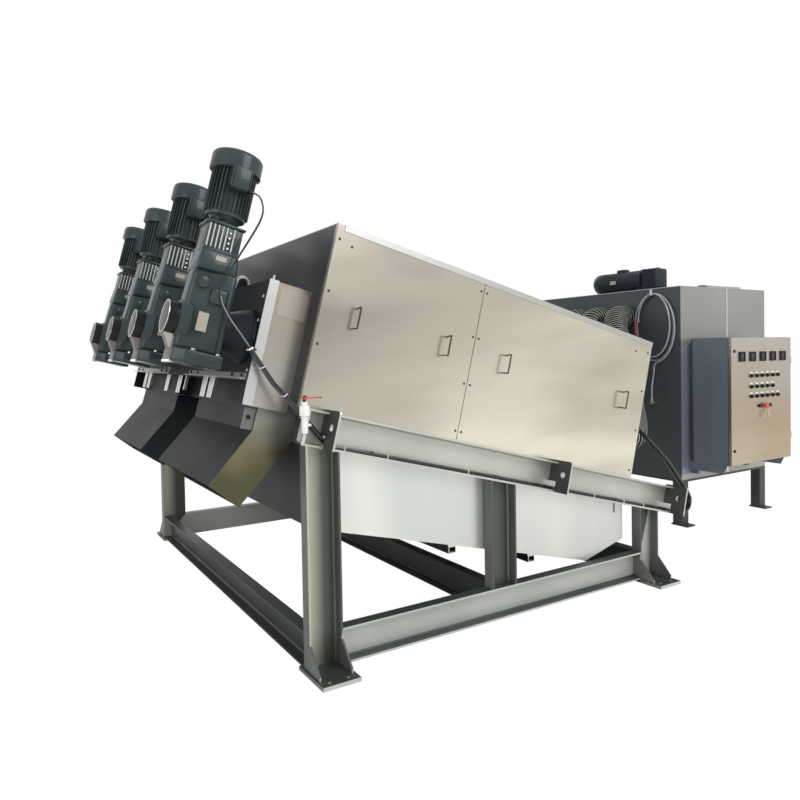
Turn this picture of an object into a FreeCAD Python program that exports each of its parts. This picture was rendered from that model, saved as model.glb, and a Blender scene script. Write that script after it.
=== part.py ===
import FreeCAD, Part
import math
import os

os.makedirs("parts", exist_ok=True)

V = FreeCAD.Vector

# Frame
incline_deg = 14.5
rail_z = 1300.0          # top of the inclined rail above the front leg's face
frame_width = 3030.0     # over the flange tips, near side to far side
chan_depth = 180.0
chan_flange = 70.0
chan_web = 9.0
chan_flange_t = 11.0
chan_radius = 8.0
mouth_strap_w = 16.0     # strap over the rail's open mouth at its front end
leg_front_x = 0.0
leg_mid_x = 1128.0
leg_rear_x = 2386.0
base_t = 20.0
base_out = 165.0         # base plate reach outside the flange tips
base_in = 110.0
base_side = 10.0
anchor_d = 22.0
anchor_y = -135.0
anchor_inset = 40.0
gusset_h = 130.0
gusset_out = 103.0
gusset_t = 10.0
gusset_toe = 18.0
rail_a0 = 22.0
rail_a1 = 2972.0
lug_a = (138.0, 1708.0, 2824.0)
lug_t = 12.0
lug_out = 105.0
lug_rise = 12.0
lug_hole_d = 36.0
lug_hole_b = -72.0
lug_hole_y = -48.0
lug_corner = 14.0
conduit_slot_w = 66.0
conduit_slot_h = 52.0

# Screws and cover
screw_margin = 352.5     # outer screws' axes behind the flange tips
screw_b = 293.0          # screw axis above the rail top
screw_d = 300.0
ring_count = 6
ring_t = 30.0
ring_rise = 22.0
ring_sides = 12
round_sides = 20         # sides of the plain round bodies
cover_a1 = 2450.0
cover_h = 930.0
cover_inset = 62.0       # cover face behind the flange tips
cover_t = 6.0
cover_fold = 26.0
cover_split_a = 963.0
cover_seam = 4.0
lid_lip = 32.0
lid_t = 4.0
lid_start = 40.0
rear_stub_d = 212.0
rear_stub_l = 70.0

# Discharge end
bulk_a = -234.0
bulk_t = 10.0
bulk_b0 = 75.0
house_b0 = -44.0
bulk_b1 = 581.0
house_inset = 200.0
house_t = 4.0
band_w = 50.0
band_t = 5.0
hanger_w = 24.0
hanger_t = 16.0
ledge_d = 34.0
ledge_t = 5.0
chute_w = 1030.0
chute_t = 4.0
chute_front_a = -141.0
chute_rear_a = 60.0
chute_neck_x = (-180.0, 49.0)      # front and rear of the short upright mouth
chute_neck_drop = (119.0, 103.0)   # below the rail's top at the front leg's face
chute_knee_x = 19.0
chute_knee_drop = 201.0
chute_lip_x = (-403.0, -255.0)     # front and rear of the outlet
chute_lip_drop = (364.0, 485.0)

# Gearmotors
motor_a = -475.0
case_a0 = -590.0
case_a1 = -370.0
case_w = 230.0
case_b0 = 145.0
case_b1 = 560.0
case_chamfer = 40.0
foot_b0 = 88.0
foot_b1 = 156.0
foot_out = 12.0
drum_d = 165.0
drum_l = 84.0
drum_seat = 26.0
stage_l = 172.0          # ribbed first stage along the slope
stage_w = 156.0
stage_b0 = 650.0
stage_b1 = 780.0
stage_cap_t = 12.0
stage_neck_w = 116.0
rib_count = 7
rib_t = 8.0
rib_out = 9.0
neck_d = 140.0
motor_d = 220.0
motor_b0 = 830.0
motor_b1 = 1160.0
motor_foot_d = 194.0
motor_foot_t = 16.0
fan_d = 254.0
fan_b0 = 1066.0
fan_round = 24.0
fin_h = 13.0
fin_count = 16
terminal_a = (-45.0, 42.0)    # from the motor's axis
terminal_b = (955.0, 1064.0)
terminal_out = 48.0
gland_d = 22.0
gland_l = 20.0
nose_d = 190.0
nose_flange_d = 280.0
nose_flange_t = 18.0

# Filtrate tray
tray_inset = 76.0
tray_t = 5.0
tray_front_x = 60.0
tray_apex_x = 1955.0
tray_rear_x = 2300.0
tray_drop = 592.0
tray_rear_rise = 90.0
tray_tube = 50.0
tray_tube_x = (900.0, 1485.0)
tray_strap_x = (90.0, 1190.0, 2220.0)
tray_strap_w = 50.0
drain_from_apex = 120.0
drain_d = 114.0
drain_z0 = 60.0

# Flocculation tank
tank_x0 = 3853.0
tank_x1 = 5126.0
tank_y0 = 742.0
tank_y1 = 2700.0
tank_z0 = 400.0
tank_z1 = 2080.0
tank_t = 6.0
tank_leg = 90.0
tank_foot_out = 60.0
tank_foot_t = 12.0
tank_bolt_out = 32.0
tank_bolt_d = 18.0
hose_d = 200.0
hose_z = 1850.0
hose_pitch_tank = 267.0
hose_lead = 175.0
hose_tail = 290.0
hose_bend = 270.0
hose_sides = 12
stand_ring_h = 20.0
roof_t = 5.0
roof_out = 2.0
hatch_in_x = 480.0
hatch_in_y = 60.0
hatch_l = 500.0
hatch_w = 460.0
hatch_h = 25.0
mixer_in_x = 170.0       # mixer drive's place on the roof from the tank's near front corner
mixer_in_y = 400.0
mixer_pad = 220.0
mixer_pad_t = 16.0
mixer_block_l = 180.0
mixer_block_w = 170.0
mixer_block_h = 179.0
mixer_axis_h = 105.0
mixer_flange_d = 202.0
mixer_flange_t = 22.0
mixer_body_d = 176.0
mixer_body_l = 420.0
mixer_fan_d = 196.0
mixer_fan_l = 130.0
mixer_box_from = 70.0
mixer_box_l = 116.0
mixer_box_top = 128.0
hook_y = 1000.0
hook_z = 2020.0
hook_reach = 58.0
hook_lip_t = 8.0
hook_lip_h = 52.0
hook_w = 24.0
tap_z = 1060.0
tap_d = 30.0
nipple_d = 22.0
nipple_z = 1110.0

# Wash hose, hung in a coil on the tank's hook
wash_d = 15.0
wash_turns = 3
coil_half_w = 205.0
coil_half_h = 330.0
coil_band = 40.0
coil_sides = 16
seat_gap = 0.3
gun_y = 1160.0
gun_z = (1650.0, 1800.0)
gun_d = 24.0
gun_head_l = 70.0

# Twin conduit and motor lead
conduit_d = 20.0
conduit_step = 22.0      # between the two conduits' axes
conduit_bend = 50.0
lead_d = 10.0
conduit_clip_a = (420.0, 1250.0, 2280.0)
conduit_clip_l = 12.0

# Control cabinet
cab_x0 = 3938.0
cab_x1 = 4830.0
cab_z0 = 566.0
cab_z1 = 1628.0
cab_y0 = 334.0
cab_y1 = 682.0
cab_t = 4.0
door_t = 24.0
door_gap = 5.0
hinge_pin_d = 8.0
hinge_knuckle_d = 16.0
hinge_clearance = 0.05
hinge_out = 8.0
hinge_back = 8.0
hinge_h = 40.0
hinge_from_end = 180.0
back_plate_t = 5.0
back_plate_z0 = 450.0
back_plate_cut = (170.0, 120.0)   # corner taken off at the top
bracket_w = 40.0
bracket_in = 60.0

# Ball valve
stem_d = 14.0
stem_clearance = 0.05
valve_x = -16.0
valve_y = -34.0
valve_pipe_d = 30.0
valve_pipe_z = (1180.0, 1327.0)
valve_body_d = 48.0
valve_body_z = (1262.0, 1308.0)
stem_z1 = 1355.0
valve_clip = (33.0, 12.0)     # length and height
valve_clip_z = 1210.0
lever_hub_d = 28.0
lever_hub_z = (1339.0, 1349.0)
lever_l = 85.0
lever_half_w = (13.0, 7.0)
lever_z = (1341.0, 1347.0)

ang = math.radians(incline_deg)
COS = math.cos(ang)
SIN = math.sin(ang)
mid_y = frame_width / 2.0
screw_pitch = (frame_width - 2 * screw_margin) / 3
screw_y = [screw_margin + i * screw_pitch for i in range(4)]
module_y = [(screw_y[0] + screw_y[1]) / 2.0, (screw_y[2] + screw_y[3]) / 2.0]


def box(x0, x1, y0, y1, z0, z1):
    return Part.makeBox(x1 - x0, y1 - y0, z1 - z0, V(x0, y0, z0))


def cyl(radius, start, direction, length):
    return Part.makeCylinder(radius, length, start, direction)


def prism(points, axis, start, length):
    """Solid from a polygon in the plane square to an axis: 'x' takes (y, z), 'y' takes (x, z), 'z' takes (x, y)."""
    place = {
        "x": lambda p: V(start, p[0], p[1]),
        "y": lambda p: V(p[0], start, p[1]),
        "z": lambda p: V(p[0], p[1], start),
    }[axis]
    way = {"x": V(length, 0, 0), "y": V(0, length, 0), "z": V(0, 0, length)}[axis]
    corners = [place(p) for p in points]
    face = Part.Face(Part.makePolygon(corners + [corners[0]]))
    return face.extrude(way)


def fused(shapes):
    solid = shapes[0].multiFuse(shapes[1:]) if len(shapes) > 1 else shapes[0]
    return solid.removeSplitter()


def tilt(shape):
    """Put a shape drawn along the slope (a, y, b) on the inclined rail top."""
    shape = shape.copy()
    shape.rotate(V(0, 0, 0), V(0, 1, 0), incline_deg)
    shape.translate(V(0, 0, rail_z))
    return shape


def on_slope(a, y, b):
    return V(a * COS + b * SIN, y, rail_z - a * SIN + b * COS)


def rail_under_z(x, b=-chan_depth):
    """Height of a line parallel to the rail at b, over a place x."""
    return rail_z - x * math.tan(ang) + b / COS


def mirrored(shape):
    return shape.mirror(V(0, mid_y, 0), V(0, 1, 0))


def channel(length):
    """Rolled channel along +X, flange tips at y = 0, back of the web at y = chan_flange, depth along z."""
    d = chan_depth
    f = chan_flange
    w = f - chan_web
    t = chan_flange_t
    r = chan_radius
    section = [(f, 0), (f, d), (0, d), (0, d - t), (w - r, d - t), (w, d - t - r), (w, t + r), (w - r, t), (0, t),
               (0, 0)]
    return prism(section, "x", 0, length)


def upright(x, z0, z1):
    """Channel standing on end, depth along X."""
    leg = channel(z1 - z0)
    leg.rotate(V(0, 0, 0), V(0, 1, 0), -90)
    leg.translate(V(x + chan_depth, 0, z0))
    return leg


def above_rail_bottom():
    """Everything above the underside of the rail, to trim the tops of the legs."""
    return tilt(box(-600, 3600, -400, 400, -chan_depth, 1500))


def base_plate(x):
    plate = box(x - base_side, x + chan_depth + base_side, -base_out, base_in, 0, base_t)
    for hole_x in (x + anchor_inset, x + chan_depth - anchor_inset):
        plate = plate.cut(cyl(anchor_d / 2, V(hole_x, anchor_y, -1), V(0, 0, 1), base_t + 2))
    return plate


def foot_gussets(x):
    shape = [(0, base_t), (-gusset_out, base_t), (-gusset_out, base_t + gusset_toe), (0, base_t + gusset_h)]
    return [prism(shape, "x", x, gusset_t), prism(shape, "x", x + chan_depth - gusset_t, gusset_t)]


def side_frame():
    """Three legs, the bottom beam and the two base plates of one side, welded."""
    beam_z0 = base_t
    beam_z1 = beam_z0 + chan_depth
    front = upright(leg_front_x, base_t, rail_z)
    rear = upright(leg_rear_x, base_t, rail_z)
    middle = upright(leg_mid_x, beam_z1, rail_z)
    beam = channel(leg_rear_x - leg_front_x - chan_depth)
    beam.translate(V(leg_front_x + chan_depth, 0, beam_z0))
    legs = [leg.cut(above_rail_bottom()) for leg in (front, middle, rear)]
    parts = legs + [beam, base_plate(leg_front_x), base_plate(leg_rear_x)]
    parts += foot_gussets(leg_front_x) + foot_gussets(leg_rear_x)
    return fused(parts)


def lug(a):
    """Transverse plate across the rail with a lifting hole and one rounded corner."""
    y0 = -lug_out
    y1 = chan_flange - chan_web
    b0 = -chan_depth
    b1 = lug_rise
    c = lug_corner
    shape = [(y0, b0), (y1, b0), (y1, b1), (y0 + c, b1), (y0 + 0.3 * c, b1 - 0.3 * c), (y0, b1 - c)]
    plate = prism(shape, "x", a, lug_t)
    hole = cyl(lug_hole_d / 2, V(a - 1, lug_hole_y, lug_hole_b), V(1, 0, 0), lug_t + 2)
    slot = box(a - 1, a + lug_t + 1, 0, conduit_slot_w, -chan_depth + chan_flange_t,
               -chan_depth + chan_flange_t + conduit_slot_h)
    return plate.cut(hole).cut(slot)


def rail():
    """Inclined channel with three lug plates and a strap over the mouth at its front end."""
    bar = channel(rail_a1 - rail_a0)
    bar.translate(V(rail_a0, 0, -chan_depth))
    strap = box(rail_a0, rail_a0 + mouth_strap_w, 0, chan_web, -chan_depth, 0)
    return tilt(fused([bar, strap] + [lug(a) for a in lug_a]))


def cross_beam(x):
    """Bottom beam across the machine, flange tips towards the discharge end."""
    length = frame_width - 2 * chan_flange
    bar = channel(length)
    bar.rotate(V(0, 0, 0), V(0, 0, 1), -90)
    bar.translate(V(x, frame_width - chan_flange, base_t))
    return bar


def cover_panel(a0, a1):
    """Side sheet of the cover with folded edges turned inwards."""
    y0 = cover_inset
    top = cover_h - lid_t
    sheet = box(a0, a1, y0, y0 + cover_t, 0, top)
    fold = cover_fold
    rims = [
        box(a0, a1, y0, y0 + fold, 0, cover_t),
        box(a0, a1, y0, y0 + fold, top - cover_t, top),
        box(a0, a0 + cover_t, y0, y0 + fold, 0, top),
        box(a1 - cover_t, a1, y0, y0 + fold, 0, top),
    ]
    return tilt(fused([sheet] + rims))


def cover_lid():
    """Top sheet with its lip folded down over the side panels."""
    y0 = cover_inset - lid_t
    y1 = frame_width - y0
    sheet = box(0, cover_a1, y0, y1, cover_h - lid_t, cover_h)
    near = box(lid_start, cover_a1, y0, cover_inset, cover_h - lid_lip, cover_h)
    far = box(lid_start, cover_a1, frame_width - cover_inset, y1, cover_h - lid_lip, cover_h)
    notch = box(-1, lid_start, y0 - 1, cover_inset, cover_h - 60, cover_h + 1)
    notch2 = box(-1, lid_start, frame_width - cover_inset, y1 + 1, cover_h - 60, cover_h + 1)
    return tilt(fused([sheet, near, far]).cut(notch).cut(notch2))


def end_plate(a0):
    """Plate square to the slope that closes the cover and carries the four screws."""
    inner = cover_inset + cover_fold
    return box(a0, a0 + cover_t * 2, inner, frame_width - inner, 0, cover_h - lid_t)


def cover_front():
    return tilt(end_plate(0.0))


def cover_rear():
    """Rear plate with the four feed sockets."""
    parts = [end_plate(cover_a1 - cover_t * 2)]
    for y in screw_y:
        parts.append(many_sided(cover_a1, cover_a1 + rear_stub_l, y, rear_stub_d / 2, round_sides))
    return tilt(fused(parts))


def many_sided(a0, a1, y, radius, sides):
    """Straight bar of regular section along the slope, centred on a screw axis."""
    return bar_between(V(a0, y, screw_b), V(a1, y, screw_b), V(0, 0, 1), radius, sides)


def bar_between(start, end, side, radius, sides):
    """Straight bar of regular section from one point to another."""
    way = end - start
    corners = ring_points(start, V(way).normalize(), side, radius, sides)
    face = Part.Face(Part.makePolygon(corners + [corners[0]]))
    return face.extrude(way)


def upright_bar(x, y, z0, z1, radius, sides):
    return bar_between(V(x, y, z0), V(x, y, z1), V(1, 0, 0), radius, sides)


def tapered(centres, side, radii, sides):
    """Body of regular section whose radius changes from place to place along a straight line."""
    way = (centres[1] - centres[0]).normalize()
    return skin([ring_points(centre, way, side, radius, sides) for centre, radius in zip(centres, radii)])


def skin(rings):
    """Solid through a row of many-sided rings whose matching corners span flat faces."""
    faces = []
    for ring, after in zip(rings, rings[1:]):
        for i in range(len(ring)):
            j = (i + 1) % len(ring)
            faces.append(Part.Face(Part.makePolygon([ring[i], ring[j], after[j], after[i], ring[i]])))
    for end in (rings[0], rings[-1]):
        faces.append(Part.Face(Part.makePolygon(end + [end[0]])))
    shell = Part.makeShell(faces)
    shell.sewShape()
    solid = Part.makeSolid(shell)
    if solid.Volume < 0:
        solid.reverse()
    return solid


def disc_cylinder(y):
    """Stack of rings on the screw's barrel between two end rings."""
    a0 = cover_t * 2
    a1 = cover_a1 - cover_t * 2
    step = (a1 - a0 - ring_t) / (ring_count - 1)
    parts = [many_sided(a0, a1, y, screw_d / 2 - ring_rise, ring_sides)]
    for i in range(ring_count):
        s = a0 + i * step
        radius = screw_d / 2 + ring_rise if i in (0, ring_count - 1) else screw_d / 2
        parts.append(many_sided(s, s + ring_t, y, radius, ring_sides))
    return tilt(fused(parts))


def discharge_housing():
    """Bulkhead plate with top, side and lower sheets, open below over the chutes."""
    y0 = house_inset
    y1 = frame_width - house_inset
    rear = 0.0
    t = house_t
    parts = [
        box(bulk_a, bulk_a + bulk_t, y0, y1, bulk_b0, bulk_b1),
        box(bulk_a, rear, y0, y1, bulk_b1 - t, bulk_b1),
        box(bulk_a, rear, y0, y0 + t, house_b0, bulk_b1),
        box(bulk_a, rear, y1 - t, y1, house_b0, bulk_b1),
        box(bulk_a, bulk_a + band_w, y0 - band_t, y0, house_b0, bulk_b1 + t),
        box(bulk_a, bulk_a + band_w, y1, y1 + band_t, house_b0, bulk_b1 + t),
        box(bulk_a + bulk_t, rear, mid_y - 3, mid_y + 3, house_b0, bulk_b1 - t),
        box(bulk_a, chute_front_a, y0, y1, bulk_b0, bulk_b0 + t),
        box(chute_front_a, chute_front_a + t, y0, y1, house_b0, bulk_b0 + t),
    ]
    for y in module_y:
        ends = (y - chute_w / 2, y + chute_w / 2)
        parts.append(box(bulk_a - ledge_d, bulk_a, ends[0], ends[1], bulk_b0, bulk_b0 + ledge_t))
        parts.append(box(bulk_a - ledge_t, bulk_a, ends[0], ends[1], bulk_b0, bulk_b0 + ledge_d))
    spots = [y + side * 18 for y in module_y for side in (-1, 1)]
    spots += [mid_y - 200, mid_y + 200]
    for y in spots:
        parts.append(box(bulk_a, bulk_a + hanger_t, y - hanger_w / 2, y + hanger_w / 2, house_b0 + 30, bulk_b0))
    return tilt(fused(parts))


def chute(y):
    """Sheet chute: a short upright mouth under the housing and a sloping lower part."""
    t = chute_t
    top_f = on_slope(chute_front_a, 0, house_b0)
    top_r = on_slope(chute_rear_a, 0, house_b0)
    neck = [(x, rail_z - drop) for x, drop in zip(chute_neck_x, chute_neck_drop)]
    lip = [(x, rail_z - drop) for x, drop in zip(chute_lip_x, chute_lip_drop)]
    knee = (chute_knee_x, rail_z - chute_knee_drop)
    outer = [(top_f.x, top_f.z), neck[0], lip[0], lip[1], knee, neck[1], (top_r.x, top_r.z)]
    y0 = y - chute_w / 2
    block = prism(outer, "y", y0, chute_w)
    past_f = (lip[0][0] - 9 * t, lip[0][1] - 19 * t)
    past_r = (lip[1][0] - 9 * t, lip[1][1] - 19 * t)
    inner = [(top_f.x + 6 * t, top_f.z + 15 * t), (top_f.x + t, top_f.z), (neck[0][0] + t, neck[0][1]),
             (lip[0][0] + t, lip[0][1]), past_f, past_r, (lip[1][0], lip[1][1] + t), (knee[0] - t, knee[1] + t),
             (neck[1][0] - t, neck[1][1]), (top_r.x - t, top_r.z), (top_r.x + 4 * t, top_r.z + 15 * t)]
    hollow = prism(inner, "y", y0 + t, chute_w - 2 * t)
    return block.cut(hollow)


def first_stage(y):
    """Ribbed block between the gear case and the motor, with its cap and the narrower seat below it."""
    a0 = motor_a - stage_l / 2
    a1 = motor_a + stage_l / 2
    half = stage_w / 2
    seat = stage_neck_w / 2
    parts = [
        box(a0, a1, y - half, y + half, stage_b0, stage_b1),
        box(a0 - rib_out, a1 + rib_out, y - half - rib_out, y + half + rib_out, stage_b1, stage_b1 + stage_cap_t),
        box(motor_a - seat, motor_a + seat, y - seat, y + seat, case_b1, stage_b0),
    ]
    step = (stage_l - rib_t) / (rib_count - 1)
    for i in range(rib_count):
        a = a0 + i * step
        parts.append(box(a, a + rib_t, y - half - rib_out, y + half + rib_out, stage_b0, stage_b1))
    return parts


def gearbox(y):
    """Right-angle gear case with its foot, hollow-shaft drum, output nose and first stage."""
    half = case_w / 2
    c = case_chamfer
    outline = [
        (case_a0, case_b0 + c), (case_a0 + c, case_b0), (case_a1 - c, case_b0), (case_a1, case_b0 + c),
        (case_a1, case_b1 - c), (case_a1 - c, case_b1), (case_a0 + c, case_b1), (case_a0, case_b1 - c),
    ]
    case = prism(outline, "y", y - half, case_w)
    foot = box(case_a0, case_a1, y - half - foot_out, y + half + foot_out, foot_b0, foot_b1)
    drum = many_sided(case_a0 - drum_l + drum_seat, case_a0, y, drum_d / 2, round_sides)
    flange_a = bulk_a - nose_flange_t
    nose = tapered([V(case_a1 - 1, y, screw_b), V(flange_a, y, screw_b)], V(0, 0, 1),
                   [nose_d / 2, nose_flange_d / 2], round_sides)
    flange = many_sided(flange_a, bulk_a, y, nose_flange_d / 2, round_sides)
    neck = upright_bar(motor_a, y, stage_b1 + stage_cap_t, motor_b0, neck_d / 2, round_sides)
    return tilt(fused([case, foot, drum, nose, flange, neck] + first_stage(y)))


def finned_section(y, r_root, r_tip, count):
    """Star of straight fins round a motor body, as a closed outline in plan."""
    points = []
    for i in range(count):
        for share, radius in ((0.3, r_root), (0.35, r_tip), (0.65, r_tip), (0.7, r_root)):
            turn = 2 * math.pi * (i + share) / count
            points.append((motor_a + radius * math.cos(turn), y + radius * math.sin(turn)))
    return points


def motor(y):
    """Finned motor body with fan cover, terminal box and cable gland, standing on the first stage."""
    r = motor_d / 2
    body_b0 = motor_b0 + motor_foot_t
    section = finned_section(y, r - fin_h, r, fin_count)
    body = prism(section, "z", body_b0, fan_b0 - body_b0)
    base = upright_bar(motor_a, y, motor_b0, body_b0, motor_foot_d / 2, round_sides)
    fan = tapered([V(motor_a, y, fan_b0), V(motor_a, y, motor_b1 - fan_round), V(motor_a, y, motor_b1)], V(1, 0, 0),
                  [fan_d / 2, fan_d / 2, fan_d / 2 - fan_round], round_sides)
    box_a1 = motor_a + terminal_a[1]
    terminal = box(motor_a + terminal_a[0], box_a1, y - r - terminal_out, y - r + 2 * fin_h, *terminal_b)
    gland_at = V(box_a1, lead_exit_y(y), terminal_b[0] + gland_d / 2)
    gland = bar_between(gland_at, gland_at + V(gland_l, 0, 0), V(0, 0, 1), gland_d / 2, coil_sides)
    return tilt(fused([body, base, fan, terminal, gland]))


def lead_exit_y(y):
    """Middle of the part of the terminal box that stands clear of the fins."""
    return y - motor_d / 2 - terminal_out / 2


def filtrate_tray():
    """Sheet tray under the rails: floor parallel to the rails down to a sump, then rising to the rear wall."""
    y0 = tray_inset
    y1 = frame_width - tray_inset
    slope = math.tan(ang)
    top = [(tray_front_x, rail_under_z(tray_front_x)), (tray_rear_x, rail_under_z(tray_rear_x))]
    floor_z = rail_z - tray_drop
    low = [(tray_rear_x, floor_z - tray_apex_x * slope + tray_rear_rise),
           (tray_apex_x, floor_z - tray_apex_x * slope), (tray_front_x, floor_z - tray_front_x * slope)]
    block = prism(top + low, "y", y0, y1 - y0)
    t = tray_t
    inner = [(top[0][0] + t, top[0][1] + 60), (top[1][0] - t, top[1][1] + 60), (low[0][0] - t, low[0][1] + t),
             (low[1][0], low[1][1] + t), (low[2][0] + t, low[2][1] + t)]
    hollow = prism(inner, "y", y0 + t, y1 - y0 - 2 * t)
    shell = block.cut(hollow)
    parts = [shell]
    for x in tray_tube_x:
        z = floor_z - (x - tray_tube / 2) * slope
        half = tray_tube / 2
        tube = box(x - half, x + half, chan_flange, frame_width - chan_flange, z - tray_tube, z - 12)
        parts.append(tube.cut(box(x - half + 4, x + half - 4, 0, frame_width, z - tray_tube + 4, z - 16)))
        parts.append(box(x - tray_tube / 2, x + tray_tube / 2, y0, y1, z - 12, z + 2))
    for x in tray_strap_x:
        z = rail_under_z(x + tray_strap_w / 2)
        for y in (chan_flange, y1):
            parts.append(box(x, x + tray_strap_w, y, y + tray_inset - chan_flange, z - 60, z + 70))
    drain_z = low[1][1]
    drain_x = tray_apex_x + drain_from_apex
    pipe = upright_bar(drain_x, mid_y, drain_z0, drain_z + tray_tube * 0.6, drain_d / 2, round_sides)
    bore = upright_bar(drain_x, mid_y, drain_z0 - 1, drain_z + tray_tube, drain_d / 2 - tray_t, round_sides)
    return fused(parts + [pipe]).cut(bore)


def tank_shell():
    """Four walls and the floor of the flocculation tank, with the hose hook and the water tap on its front."""
    outer = box(tank_x0, tank_x1, tank_y0, tank_y1, tank_z0, tank_z1)
    inner = box(tank_x0 + tank_t, tank_x1 - tank_t, tank_y0 + tank_t, tank_y1 - tank_t, tank_z0 + tank_t, tank_z1 + 1)
    tip = tank_x0 - hook_reach
    hook = prism([(tank_x0, hook_z), (tip, hook_z), (tip, hook_z + hook_lip_h),
                  (tip + hook_lip_t, hook_z + hook_lip_h), (tip + hook_lip_t, hook_z + hook_lip_t),
                  (tank_x0, hook_z + hook_lip_t)], "y", hook_y - hook_w / 2, hook_w)
    nozzle = tap_place()
    tap = bar_between(V(tank_x0, nozzle.y, tap_z), V(nozzle.x - tap_d / 2, nozzle.y, tap_z), V(0, 0, 1), tap_d / 2,
                      coil_sides)
    nipple = upright_bar(nozzle.x, nozzle.y, tap_z, nipple_z, nipple_d / 2, coil_sides)
    return fused([outer.cut(inner), hook, tap, nipple])


def tap_place():
    """Top of the tap's upright hose nipple."""
    return V(tank_x0 - tap_d - tank_t, hook_y + tap_d / 2, nipple_z)


def coil_centre():
    """Middle of the coil, which hangs by its inner side on the hook, close to the tank's front."""
    inner_top = hook_z + hook_lip_t + seat_gap
    z = inner_top - coil_half_h + coil_band
    return V(tank_x0 - seat_gap - wash_turns * wash_d / 2, hook_y, z)


def wash_hose_coil():
    """Outer shape of the hung coil: a flat many-sided ring."""
    centre = coil_centre()
    half_t = wash_turns * wash_d / 2
    rings = []
    for shrink in (0.0, coil_band):
        corners = []
        for i in range(coil_sides):
            turn = 2 * math.pi * (i + 0.5) / coil_sides
            flat = math.cos(math.pi / coil_sides)
            corners.append((centre.y + (coil_half_w - shrink) / flat * math.sin(turn),
                            centre.z + (coil_half_h - shrink) / flat * math.cos(turn)))
        rings.append(prism(corners, "x", centre.x - half_t, 2 * half_t))
    return rings[0].cut(rings[1])


def wash_tail_points():
    """Route of the hose from the bottom of the coil down to the tap's nipple."""
    top = coil_centre() + V(0, 0, -coil_half_h)
    end = tap_place()
    return [top, top + V(0, 0, -72), top + V(-6, 11, -148), end + V(0, 0, 74), end]


def wash_hose_tail():
    return flexible_hose(wash_tail_points(), None, wash_d / 2, 8, 3)


def corner_radii(points):
    """Radii of a route's corners when each is as large as its runs allow."""
    radii = []
    for before, corner, after in zip(points, points[1:], points[2:]):
        turn = (corner - before).getAngle(after - corner)
        radii.append(round(corner_radius(before, corner, after, turn, None)))
    return radii


def spray_gun():
    """Hand gun at the hose's free end, hanging in front of the coil."""
    face_x = coil_centre().x - wash_turns * wash_d / 2
    x = face_x - gun_d
    handle = upright_bar(x, gun_y, gun_z[0], gun_z[1], gun_d / 2, coil_sides)
    inlet = bar_between(V(x, gun_y, gun_z[1] - wash_d), V(face_x, gun_y, gun_z[1] - wash_d), V(0, 0, 1), wash_d / 2,
                        coil_sides)
    head = bar_between(V(x, gun_y + gun_d / 2, gun_z[0]), V(x, gun_y - gun_head_l, gun_z[0] - gun_d / 2), V(1, 0, 0),
                       gun_d / 2, coil_sides)
    return fused([handle, inlet, head])


def conduit_route(offset):
    """Route of one of the twin conduits, in slope coordinates, from the gear units to the cover's rear plate."""
    low = -chan_depth + chan_flange_t + conduit_d / 2
    inner_y = chan_flange - chan_web - chan_radius - conduit_step / 2 - conduit_d / 2
    rear_y = cover_inset + cover_fold + conduit_d * 2
    route = [
        (bulk_a - 36, house_inset - 15, 231), (bulk_a + 101, house_inset - 80, 83), (rail_a0 - 19, inner_y + 3, -32),
        (lug_a[0] - 43, inner_y, -104), (lug_a[0] + 40, inner_y, low), (rail_a1 + 38, inner_y, low),
        (rail_a1 + 94, inner_y, -118), (rail_a1 + 86, inner_y, -46), (rail_a1 + 18, inner_y, 12),
        (rail_a1 - 212, inner_y + 10, 172), (cover_a1 + 130, rear_y - 38, 290), (cover_a1 + 70, rear_y, 345),
        (cover_a1, rear_y, 345),
    ]
    return [V(a, y + offset, b) for a, y, b in route]


def lead_route(y):
    """Route of the motor lead, in slope coordinates, from its gland past the gear case into the conduit."""
    start = V(motor_a + terminal_a[1] + gland_l, lead_exit_y(y), terminal_b[0] + gland_d / 2)
    conduit = conduit_route(-conduit_step / 2)
    end = conduit[0]
    back = (conduit[0] - conduit[1]).normalize()
    case_face = y - case_w / 2
    tie = V(case_a1 - 82, case_face - lead_d / 2 - seat_gap, case_b1 - 95)
    return [start, start + V(42, 0, 0), start + V(76, 3, -46), start + V(80, 4, -98), start + V(62, 5, -170),
            start + V(22, 6, -290), start + V(-16, 8, -400), tie, tie + V(22, -10, -66), tie + V(76, -28, -132),
            end + back * 60, end]


def rail_conduit():
    """Two conduits side by side along the near rail, their clips and glands, and the lead of the first motor."""
    parts = []
    half = conduit_d / 2
    for offset in (-conduit_step / 2, conduit_step / 2):
        route = conduit_route(offset)
        parts.append(flexible_hose(route, conduit_bend, half, 8, 2))
        end = route[-1]
        parts.append(bar_between(end, end + V(gland_l, 0, 0), V(0, 0, 1), half + 3, coil_sides))
    low = conduit_route(0)[5]
    reach = conduit_step / 2 + half
    for a in conduit_clip_a:
        parts.append(box(a, a + conduit_clip_l, low.y - reach, low.y + reach, low.z - half, low.z + half + 2))
    top = conduit_route(0)[0]
    parts.append(box(top.x - half - 3, bulk_a, top.y - reach, top.y + reach, top.z - 14, top.z - 2))
    parts.append(flexible_hose(lead_route(screw_y[0]), None, lead_d / 2, 6, 2))
    return tilt(fused(parts))


def hose_tank_y():
    centre = (tank_y0 + tank_y1) / 2
    return [centre + (i - 1.5) * hose_pitch_tank for i in range(4)]


def tank_roof():
    """Roof sheet with the hatch lid on it."""
    z = tank_z1 + roof_t
    sheet = box(tank_x0 - roof_out, tank_x1 + roof_out, tank_y0 - roof_out, tank_y1 + roof_out, tank_z1, z)
    x = tank_x0 + hatch_in_x
    y = tank_y0 + hatch_in_y
    hatch = box(x, x + hatch_l, y, y + hatch_w, z, z + hatch_h)
    return fused([sheet, hatch])


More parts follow.
